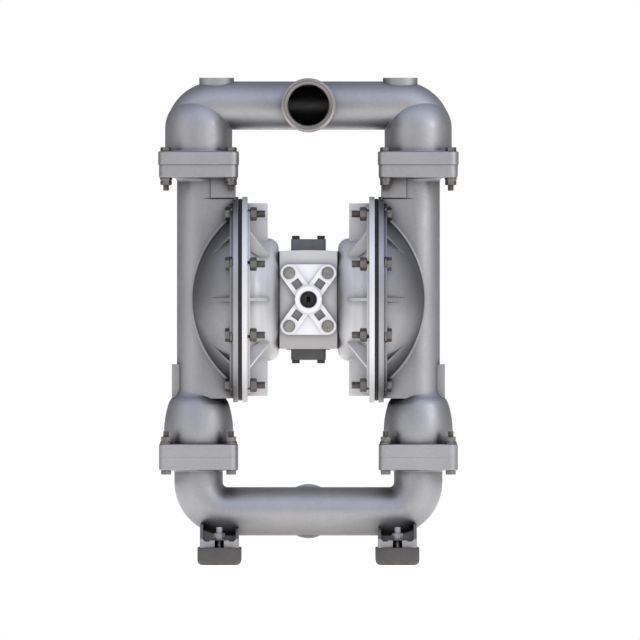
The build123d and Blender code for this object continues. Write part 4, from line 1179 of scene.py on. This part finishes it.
@dataclass
class Feet:
    """Moulded rubber feet with their studs, nuts and washers."""

    shop: Workshop
    edge: float = 7.0 * MM
    lip: float = 1.2 * MM
    hollow: float = 2.2 * MM
    stud_radius: float = 4.3 * MM
    stud_pitch: float = 1.25 * MM
    stud_depth: float = 11 * MM
    nut_flats: float = 13 * MM
    washer_play: float = 0.3 * MM
    groove: float = 0.8 * MM
    seam_height: float = 0.5 * MM
    pole: float = 0.6 * MM
    play: float = 0.02 * MM

    def puck(self, shell: Shell, low: Vector, high: Vector) -> None:
        """Adds one foot.

        Args:
            shell: What it is added to.
            low: Lowest corner of the frame's plain foot.
            high: Highest corner of it.
        """
        radius = (high.x - low.x) / 2
        top = high.z - low.z
        place = Matrix.Translation(((low.x + high.x) / 2, (low.y + high.y) / 2, low.z))
        corner = [(radius - self.edge + self.edge * math.sin(math.radians(turn)),
                   self.edge - self.edge * math.cos(math.radians(turn))) for turn in range(0, 91, 10)]
        seam = 0.62 * top
        profile = [(self.pole, self.hollow), (0.45 * radius, self.hollow), (0.52 * radius, 0.5 * MM),
                   (0.55 * radius, 0), (0.66 * radius, 0), (0.67 * radius, self.groove), (0.69 * radius, self.groove),
                   (0.70 * radius, 0), *corner, (radius, seam - self.seam_height), (radius - self.play, seam),
                   (radius, seam + self.seam_height), (radius, top - self.lip),
                   (radius - 0.35 * self.lip, top - 0.35 * self.lip), (radius - self.lip, top),
                   (self.stud_radius, top), (self.stud_radius, top - self.stud_depth),
                   (self.pole, top - self.stud_depth)]
        shell.lathe(profile, place, 72, lids=(True, True))

    def upright(self, low: Vector, high: Vector, height: float, up: int = 1) -> Matrix:
        """Places the local Z axis up, or down where up is -1, through the middle of a box at a height."""
        return aim(Vector(((low.x + high.x) / 2, (low.y + high.y) / 2, height)), Vector((0, 0, up)))

    def build(self) -> None:
        """Builds all four feet and what holds them."""
        shell = Shell()
        for low, high in solids("rubber_feet"):
            self.puck(shell, low, high)
        self.shop.make(shell, "feet_moulded", Slot.FOOT_RUBBER, ["rubber_feet"])
        studs, nuts, washers = Shell(), Shell(), Shell()
        for low, high in solids("foot_studs"):
            Thread(self.stud_radius, self.stud_pitch).add(studs, self.upright(low, high, high.z, -1), 0.0,
                                                          high.z - low.z)
        for low, high in solids("foot_nuts"):
            HexShape(self.nut_flats, high.z - low.z).nut(nuts, self.upright(low, high, low.z),
                                                         self.stud_radius + self.play)
        for low, high in solids("foot_washers"):
            Washer((high.x - low.x) / 2, self.stud_radius + self.washer_play, high.z - low.z).add(
                washers, self.upright(low, high, low.z))
        # Painted light: the studs and nuts under the brackets get lighter copies of the fastener steel, standing in
        # for light that the shade there takes away.
        bright = replace(FINISHES[Slot.FASTENER_STEEL], name="foot stud steel painted light", light=grey(0.62, 0.62, 0.61),
                         dark=grey(0.52, 0.52, 0.51))
        self.shop.make(studs, "foot_studs_threaded", Slot.FASTENER_STEEL, ["foot_studs"], finish=bright)
        bright = replace(bright, name="foot nut steel painted light", light=grey(0.30, 0.30, 0.295), dark=grey(0.24, 0.24, 0.235))
        self.shop.make(nuts, "foot_nuts_chamfered", Slot.FASTENER_STEEL, ["foot_nuts"], finish=bright)
        self.shop.make(washers, "foot_washers_rounded", Slot.FASTENER_STEEL, ["foot_washers"])


@dataclass
class Diaphragms:
    """Moulded diaphragms: clamped rim with a bead, rolled fold, flat middle with fine ribs."""

    shop: Workshop
    thickness: float = 5.2 * MM
    shaft_hole: float = 8.0 * MM
    disc: float = 60.0 * MM
    roll: float = 99.0 * MM
    roll_lift: float = 16.5 * MM
    rise: float = 13.7 * MM
    grip: float = 110.0 * MM
    ribs: int = 4
    rib_height: float = 0.25 * MM
    rim_width: float = 1.2 * MM
    rim_edge: float = 0.3 * MM
    steps: int = 96
    rows: int = 46

    def line(self, radius: float) -> float:
        """Gives how far the sheet's middle stands outward from its flat middle part.

        Args:
            radius: Distance from the shaft axis.

        Returns:
            The distance, along the shaft.
        """
        if radius <= self.disc:
            return 0.0
        if radius <= self.roll:
            share = (radius - self.disc) / (self.roll - self.disc)
            return self.roll_lift * (1 - math.cos(math.pi * share)) / 2
        if radius <= self.grip:
            share = (radius - self.roll) / (self.grip - self.roll)
            return self.roll_lift + (self.rise - self.roll_lift) * (1 - math.cos(math.pi * share)) / 2
        return self.rise

    def profile(self, rim: float) -> list[tuple[float, float]]:
        """Lays out the section.

        Args:
            rim: Radius of the outer edge.

        Returns:
            Radius and place along the shaft of each point, as a closed loop.
        """
        half = self.thickness / 2
        pace = (self.grip - self.shaft_hole) / self.rows
        radii = [*(self.shaft_hole + pace * row for row in range(self.rows + 1)), rim - self.rim_width]
        outer, inner = [], []
        for radius in radii:
            wave = 0.0
            if self.disc < radius < self.grip:
                wave = self.rib_height * math.sin(2 * math.pi * self.ribs * (radius - self.disc)
                                                  / (self.grip - self.disc))
            outer.append((radius, self.line(radius) + half + min(0.0, wave)))
            inner.append((radius, self.line(radius) - half + max(0.0, wave)))
        round_off = 0.7 * half
        edge = [(rim - self.rim_edge, self.rise + round_off), (rim, self.rise),
                (rim - self.rim_edge, self.rise - round_off)]
        return outer + edge + inner[::-1]

    def build(self) -> None:
        """Builds both diaphragms."""
        for side in Side:
            node = "diaphragm_" + side.word
            low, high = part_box(node)
            middle = (low.z + high.z) / 2
            start = min(abs(low.x), abs(high.x)) + self.thickness / 2
            outward = Vector((side.value, 0, 0))
            shell = Shell()
            shell.lathe(self.profile((high.z - low.z) / 2), aim(Vector((side.value * start, 0, middle)), outward),
                        self.steps, closed=True)
            piece = shell.piece(node + "_moulded", self.shop.rack.get(Slot.BLACK_RUBBER), 60)
            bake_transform(piece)
            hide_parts(node)
            log.info("built %s with %d faces", piece.name, len(piece.data.polygons))


@dataclass
class Seals:
    """O-rings under and over the valve seats, and the lip seals of the shaft."""

    shop: Workshop
    play: float = 0.03 * MM
    chamfer: float = 0.3 * MM
    lip: float = 0.5 * MM
    groove_half: float = 0.2 * MM

    def build(self) -> None:
        """Builds all seals."""
        shell = Shell()
        for low, high in solids("seat_seals"):
            section = (high.z - low.z) / 2
            ring = (high.x - low.x) / 2 - section
            place = Matrix.Translation((low + high) / 2)
            shell.lathe([(ring + section * math.cos(math.radians(turn)), section * math.sin(math.radians(turn)))
                         for turn in range(0, 360, 30)], place, 72, closed=True)
        self.shop.make(shell, "seat_rings_moulded", Slot.BLACK_RUBBER, ["seat_seals"], crease=60)
        shell = Shell()
        for low, high in solids("shaft_seals"):
            outer = (high.z - low.z) / 2
            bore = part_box("main_shaft")[1].y + self.play
            length = high.x - low.x
            middle = (outer + bore) / 2
            outward = Vector((math.copysign(1, low.x + high.x), 0, 0))
            place = aim((low + high) / 2 - outward * length / 2, outward)
            heel, root, crown = 0.2 * length, 0.4 * length, 0.9 * length
            shell.lathe(((bore, heel), (bore + self.chamfer, 0), (outer - self.chamfer, 0), (outer, heel),
                         (outer, crown), (outer - self.lip, length), (middle + self.groove_half, root),
                         (middle - self.groove_half, root), (bore + self.lip, length), (bore, crown)),
                        place, 56, closed=True)
        self.shop.make(shell, "shaft_lip_seals", Slot.PTFE, ["shaft_seals"])


@dataclass(frozen=True)
class Cutout:
    """A hole in a gasket, round or with as many corners as it has steps."""

    across: float
    up: float
    radius: float
    steps: int = 28
    turn: float = 0.0

    def points(self) -> list[tuple[float, float]]:
        """Gives the points of its edge."""
        angles = [self.turn + 2 * math.pi * step / self.steps for step in range(self.steps)]
        return [(self.across + self.radius * math.cos(angle), self.up + self.radius * math.sin(angle))
                for angle in angles]


@dataclass
class Gaskets:
    """Fibre gaskets, cut from sheet and slightly squeezed out at the edge."""

    shop: Workshop
    bulge: float = 0.45 * MM
    lobe: float = 11.7 * MM
    screw_x: float = 25.9 * MM
    screw_z: float = 35.7 * MM
    boss: float = 18.05 * MM
    exhaust: float = 11.75 * MM
    shaft_hole: float = 14.0 * MM
    pilot_hole: float = 9.0 * MM
    pilot_y: float = 32.0 * MM
    drum_face: float = 68.9 * MM
    pocket_x: float = 15.3 * MM
    pocket_z: float = 20.9 * MM
    pocket_half: float = 6.6 * MM
    screw_hole: float = 4.5 * MM
    air_hole: float = 5 * MM
    steps: int = 160

    def sheet(self, name: str, outline: Sequence[tuple[float, float]], holes: Sequence[Cutout], place: Matrix,
              thickness: float) -> bpy.types.Object:
        """Cuts one gasket.

        Args:
            name: Its name.
            outline: Points of its edge in its own plane.
            holes: Holes in it.
            place: Where its middle and plane go.
            thickness: Its thickness.

        Returns:
            The gasket.
        """
        curve = bpy.data.curves.new(name, "CURVE")
        curve.dimensions = "2D"
        curve.fill_mode = "BOTH"
        curve.extrude = max(0.0, thickness / 2 - self.bulge)
        curve.bevel_depth = self.bulge
        curve.bevel_resolution = 2
        curve.offset = -self.bulge
        for loop in [outline, *(hole.points() for hole in holes)]:
            spline = curve.splines.new("POLY")
            spline.points.add(len(loop) - 1)
            for point, (across, up) in zip(spline.points, loop):
                point.co = (across, up, 0, 1)
            spline.use_cyclic_u = True
        draft = put(name + "_draft", curve)
        bpy.context.view_layer.update()
        mesh = bpy.data.meshes.new_from_object(draft)
        bpy.data.objects.remove(draft)
        mesh.transform(place)
        mesh.materials.clear()
        mesh.materials.append(self.shop.rack.get(Slot.GASKET))
        return put(name, mesh)

    def star(self, groups: Sequence[Sequence[tuple[float, float, float]]], steps: int = 180
             ) -> list[tuple[float, float]]:
        """Traces the outer edge of bands wrapped round circles, seen from the origin.

        Args:
            groups: Circles of each band, as across, up and radius.
            steps: Points of the edge.

        Returns:
            The edge.
        """
        ways = [compass(2 * math.pi * step / steps) for step in range(steps)]
        return [tuple(way * max(self.exit(group, way) for group in groups)) for way in ways]

    def exit(self, circles: Sequence[tuple[float, float, float]], way: Vector) -> float:
        """Finds where a ray from the origin leaves a band wrapped round circles.

        Args:
            circles: The circles, as across, up and radius.
            way: Direction of the ray.

        Returns:
            Distance from the origin.
        """
        best = math.inf
        for turn in range(0, 360, 3):
            normal = compass(math.radians(turn))
            slope = normal.dot(way)
            if slope > 0.02:
                reach = max(normal.dot(Vector((across, up))) + radius for across, up, radius in circles)
                best = min(best, reach / slope)
        return best

    def plate(self) -> None:
        """Cuts the gasket under the exhaust plate, in the plate's own outline."""
        low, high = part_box("plate_gasket")
        upper = [(x * self.screw_x, self.screw_z, self.lobe) for x in (-1, 1)] + [(0, 0, self.lobe)]
        lower = [(x, -z, radius) for x, z, radius in upper]
        lean = math.atan2(self.screw_z, self.screw_x) + math.pi / 4
        corners = [(x, z) for x in (-1, 1) for z in (-1, 1)]
        screws = [Cutout(x * self.screw_x, z * self.screw_z, self.screw_hole) for x, z in corners]
        pockets = [Cutout(x * self.pocket_x, z * self.pocket_z, self.pocket_half * math.sqrt(2), 4, x * z * lean)
                   for x, z in corners]
        place = Matrix.Translation((0, (low.y + high.y) / 2, (low.z + high.z) / 2))
        piece = self.sheet("plate_gasket_cut", self.star([upper, lower, [(0, 0, self.boss)]]),
                           [*screws, *pockets, Cutout(0, 0, self.exhaust)],
                           place @ Matrix.Rotation(math.pi / 2, 4, "X"), high.y - low.y)
        self.shop.mount(piece, Slot.GASKET, ["plate_gasket"])

    def valve(self) -> None:
        """Cuts the plain gasket under the air valve."""
        low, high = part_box("valve_gasket")
        half = (high - low) / 2
        corners = [(x * half.x, z * half.z) for x, z in ((-1, -1), (1, -1), (1, 1), (-1, 1))]
        place = Matrix.Translation((low + high) / 2) @ Matrix.Rotation(math.pi / 2, 4, "X")
        piece = self.sheet("valve_gasket_cut", corners, [Cutout(0, 0, self.air_hole)], place, high.y - low.y)
        self.shop.mount(piece, Slot.GASKET, ["valve_gasket"])

    def end(self, low: Vector, high: Vector, shaft_z: float) -> bpy.types.Object:
        """Cuts one gasket between the block and an air chamber.

        Args:
            low: Lowest corner of the frame's plain gasket.
            high: Highest corner of it.
            shaft_z: Height of the shaft.

        Returns:
            The gasket.
        """
        middle = (low + high) / 2
        edge = []
        for step in range(self.steps):
            way = compass(2 * math.pi * step / self.steps)
            tops = (high.z - shaft_z) if way.y > 0 else (shaft_z - low.z)
            edge.append(tuple(way * min(self.drum_face, (high.y - low.y) / 2 / max(abs(way.x), 1e-6),
                                        tops / max(abs(way.y), 1e-6))))
        turn = Matrix.Rotation(math.pi / 2, 4, "Z") @ Matrix.Rotation(math.pi / 2, 4, "X")
        holes = [Cutout(0, 0, self.shaft_hole), Cutout(self.pilot_y, 0, self.pilot_hole)]
        return self.sheet("end_gasket_" + ("left" if middle.x < 0 else "right"), edge, holes,
                          Matrix.Translation((middle.x, 0, shaft_z)) @ turn, high.x - low.x)

    def build(self) -> None:
        """Builds all gaskets, with both end gaskets as one piece."""
        self.plate()
        self.valve()
        low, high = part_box("plate_gasket")
        first, second = (self.end(*box, (low.z + high.z) / 2) for box in solids("end_gaskets"))
        join = bmesh.new()
        join.from_mesh(first.data)
        join.from_mesh(second.data)
        join.to_mesh(first.data)
        join.free()
        bpy.data.objects.remove(second)
        first.name = "end_gaskets_cut"
        self.shop.mount(first, Slot.GASKET, ["end_gaskets"])


@dataclass(frozen=True)
class PortThread:
    """Inside thread of one port: fine helical ridges that stand in from the bore."""

    label: str
    mouth: Vector
    inward: Vector
    radius: float
    pitch: float
    length: float
    slot: Slot
    depth: float = 0.9 * MM
    bite: float = 0.4 * MM
    steps: int = 72
    rows: int = 6

    def crest(self, height: float, angle: float) -> float:
        """Gives the inner radius, fading in at the mouth and out at the end.

        Args:
            height: Distance from the mouth.
            angle: Angle in radians.

        Returns:
            The radius.
        """
        shape = Thread(self.radius, self.pitch)
        fade = min(1.0, height / self.pitch, (self.length - height) / self.pitch)
        return self.radius - self.depth * max(0.0, fade) * (1 - shape.level(height, angle) / shape.depth)

    def build(self, shop: Workshop) -> None:
        """Builds the ridges.

        Args:
            shop: Where the piece is finished and mounted.
        """
        count = round(self.length / self.pitch * self.rows)
        heights = [self.length * index / count for index in range(count + 1)]
        ridges = [(lambda angle, z=height: self.crest(z, angle), height) for height in heights]
        back = self.radius + self.bite
        shell = Shell()
        shell.lathe([*ridges, (back, self.length), (back, 0.0)], aim(self.mouth, self.inward), self.steps, closed=True)
        piece = shell.piece(self.label, shop.rack.get(self.slot), 50)
        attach(piece, Body.HOUSING.value)
        log.info("built %s with %d faces", piece.name, len(piece.data.polygons))


def port_threads() -> list[PortThread]:
    """Lays out the threads of the four ports.

    Returns:
        One thread for each port.
    """
    to_back, to_front = Vector((0, 1, 0)), Vector((0, -1, 0))
    manifold_lead, small_lead = 3.2 * MM, 1.0 * MM
    two_inch = {"radius": 28.1 * MM, "pitch": 2.209 * MM, "length": 23 * MM, "slot": Slot.CAST_STAINLESS}
    discharge, inlet, plate, valve = (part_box(node) for node in ("discharge_manifold", "inlet_manifold",
                                                                "exhaust_plate", "air_valve_body"))
    return [
        PortThread("air_port_thread", Vector((0, valve[1].y - small_lead, (valve[0].z + valve[1].z) / 2)), to_front,
                   radius=9.15 * MM, pitch=1.411 * MM, length=12 * MM, slot=Slot.DARK_CAP, depth=0.6 * MM),
        PortThread("discharge_port_thread", Vector((0, discharge[0].y + manifold_lead, DISCHARGE_Z)), to_back,
                   **two_inch),
        PortThread("inlet_port_thread", Vector((0, inlet[1].y - manifold_lead, INLET_Z)), to_front, **two_inch),
        PortThread("exhaust_port_thread", Vector((0, plate[0].y + small_lead, (plate[0].z + plate[1].z) / 2)),
                   to_back, radius=11.75 * MM, pitch=1.814 * MM, length=15 * MM, slot=Slot.CAST_ALUMINIUM,
                   depth=0.7 * MM),
    ]


@dataclass
class Studio:
    """Camera, light and floor. The camera looks straight at the front with a very long lens."""

    lens: float = 1500.0
    sensor: float = 36.0
    frame_width: float = 0.8618
    aim_x: float = 0.0156
    aim_z: float = 0.3294
    clip_end: float = 200.0
    floor_size: float = 5.0
    floor_light: Colour = grey(1.0, 0.95, 0.87)
    floor_glow: float = 0.80
    lamp_place: tuple[float, float, float] = (1.95, -1.5, 1.1)
    lamp_target: tuple[float, float, float] = (0, 0, 0.34)
    lamp_size: float = 1.0
    lamp_power: float = 5.5
    lamp_light: tuple[float, float, float] = (1, 0.99, 0.98)
    strength: float = 2.05
    levels: tuple[tuple[float, float], ...] = (
        (0.00, 0.22), (0.25, 0.28), (0.45, 0.42), (0.60, 0.58), (0.75, 0.82), (0.88, 0.90), (1.00, 0.70))
    tints: tuple[tuple[float, Colour], ...] = (
        (0.00, grey(0.47, 0.42, 0.31)), (0.25, grey(0.67, 0.61, 0.49)), (0.42, grey(0.73, 0.70, 0.645)),
        (0.50, grey(0.74, 0.73, 0.75)), (0.65, grey(0.73, 0.74, 0.82)), (0.80, grey(0.79, 0.82, 0.98)),
        (1.00, grey(0.74, 0.78, 1.00)))
    sides: tuple[tuple[float, float], ...] = (
        (0.00, 0.70), (0.10, 0.82), (0.20, 0.76), (0.32, 0.60), (0.50, 0.78), (0.66, 0.90), (0.85, 0.94), (1.00, 0.80))

    def camera(self) -> None:
        """Makes the camera the scene's own."""
        lens = bpy.data.cameras.new("front camera")
        lens.lens = self.lens
        lens.sensor_width = self.sensor
        lens.clip_end = self.clip_end
        camera = put("front camera", lens)
        camera.location = (self.aim_x, -self.frame_width * self.lens / self.sensor, self.aim_z)
        camera.rotation_euler = (math.radians(90), 0, 0)
        bpy.context.scene.camera = camera

    def world(self) -> None:
        """Lights the pump from round the camera, cool above and warm below, before plain white."""
        world = bpy.data.worlds.new("white studio")
        bpy.context.scene.world = world
        graph = Graph(world, "Generated")
        parts = graph.add("ShaderNodeSeparateXYZ", {0: graph.place})
        levels, sides = ([(spot, grey(light, light, light)) for spot, light in stops]
                         for stops in (self.levels, self.sides))
        level = graph.ramp(graph.span(parts.outputs["Y"], 1, -1, 0, 1), levels)
        tint = graph.ramp(graph.span(parts.outputs["Z"], -1, 1, 0, 1), self.tints)
        side = graph.ramp(graph.span(parts.outputs["X"], -1, 1, 0, 1), sides)
        colour = graph.blend(1.0, graph.blend(1.0, level, side, "MULTIPLY"), tint, "MULTIPLY")
        glow = graph.add("ShaderNodeBackground", {"Color": colour, "Strength": self.strength})
        white = graph.add("ShaderNodeBackground", {"Color": grey(1, 1, 1)})
        seen = graph.add("ShaderNodeLightPath").outputs["Is Camera Ray"]
        choice = graph.add("ShaderNodeMixShader", {0: seen, 1: glow.outputs[0], 2: white.outputs[0]})
        graph.add("ShaderNodeOutputWorld", {"Surface": choice.outputs[0]})

    def lamp(self) -> None:
        """Hangs the soft square lamp in front of the pump, to its right."""
        light = bpy.data.lights.new("right soft box", "AREA")
        light.size = self.lamp_size
        light.energy = self.lamp_power
        light.color = self.lamp_light
        place = Vector(self.lamp_place)
        put("right soft box", light).matrix_world = aim(place, place - Vector(self.lamp_target))

    def floor(self) -> None:
        """Lays the pale floor under the feet."""
        half = self.floor_size / 2
        shell = Shell()
        shell.points = [Vector((x, y, 0)) for x, y in ((-half, -half), (half, -half), (half, half), (-half, half))]
        shell.faces = [(0, 1, 2, 3)]
        graph = Graph(bpy.data.materials.new("pale floor"))
        soft = graph.blend(graph.noise(0.6, 2), grey(0.80, 0.80, 0.79), grey(0.84, 0.84, 0.83))
        material = graph.close({"Roughness": 0.9, "Emission Color": self.floor_light,
                                "Emission Strength": self.floor_glow}, {"Base Color": soft})
        shell.piece("floor", material)

    def build(self) -> None:
        """Sets up the whole studio."""
        self.camera()
        self.world()
        self.floor()
        self.lamp()
        settings = bpy.context.scene.view_settings
        settings.view_transform = "Standard"
        settings.look = "None"
        log.info("studio is ready")


def main() -> None:
    """Builds the studio and dresses the pump."""
    logging.basicConfig(level=logging.INFO, format="%(message)s")
    Studio().build()
    shop = Workshop()
    Castings(shop).dress()
    for side in Side:
        BoltSet(shop, "chamber_" + side.word, "chamber_bolts_" + side.word, "chamber_nuts_" + side.word,
                "chamber_washers_" + side.word, Vector((side.value, 0, 0)), flats=16 * MM, head=6.9 * MM,
                radius=5 * MM, pitch=1.5 * MM, thread=26 * MM).build()
    for label, up in (("discharge", 1), ("inlet", -1)):
        BoltSet(shop, label + "_flange", label + "_flange_bolts", label + "_flange_nuts", label + "_flange_washers",
                Vector((0, 0, up)), flats=13 * MM, head=5.6 * MM, radius=4 * MM, pitch=1.25 * MM, thread=22 * MM,
                collar=7.9 * MM).build()
    PlateScrews(shop).build()
    oxide = replace(FINISHES[Slot.DARK_CAP], name="cap screw oxide", light=grey(0.075, 0.075, 0.078),
                    dark=grey(0.055, 0.055, 0.058))
    ScrewSet(shop, "cap_screws_socket", "cap_screws", Slot.DARK_CAP, finish=oxide).build()
    ScrewSet(shop, "valve_screws_socket", "valve_screws", Slot.FASTENER_STEEL).build()
    ScrewSet(shop, "air_chamber_screws_socket", "air_chamber_screws", Slot.FASTENER_STEEL).build()
    Feet(shop).build()
    Diaphragms(shop).build()
    Seals(shop).build()
    Gaskets(shop).build()
    for thread in port_threads():
        thread.build(shop)


if __name__ == "__main__":
    main()
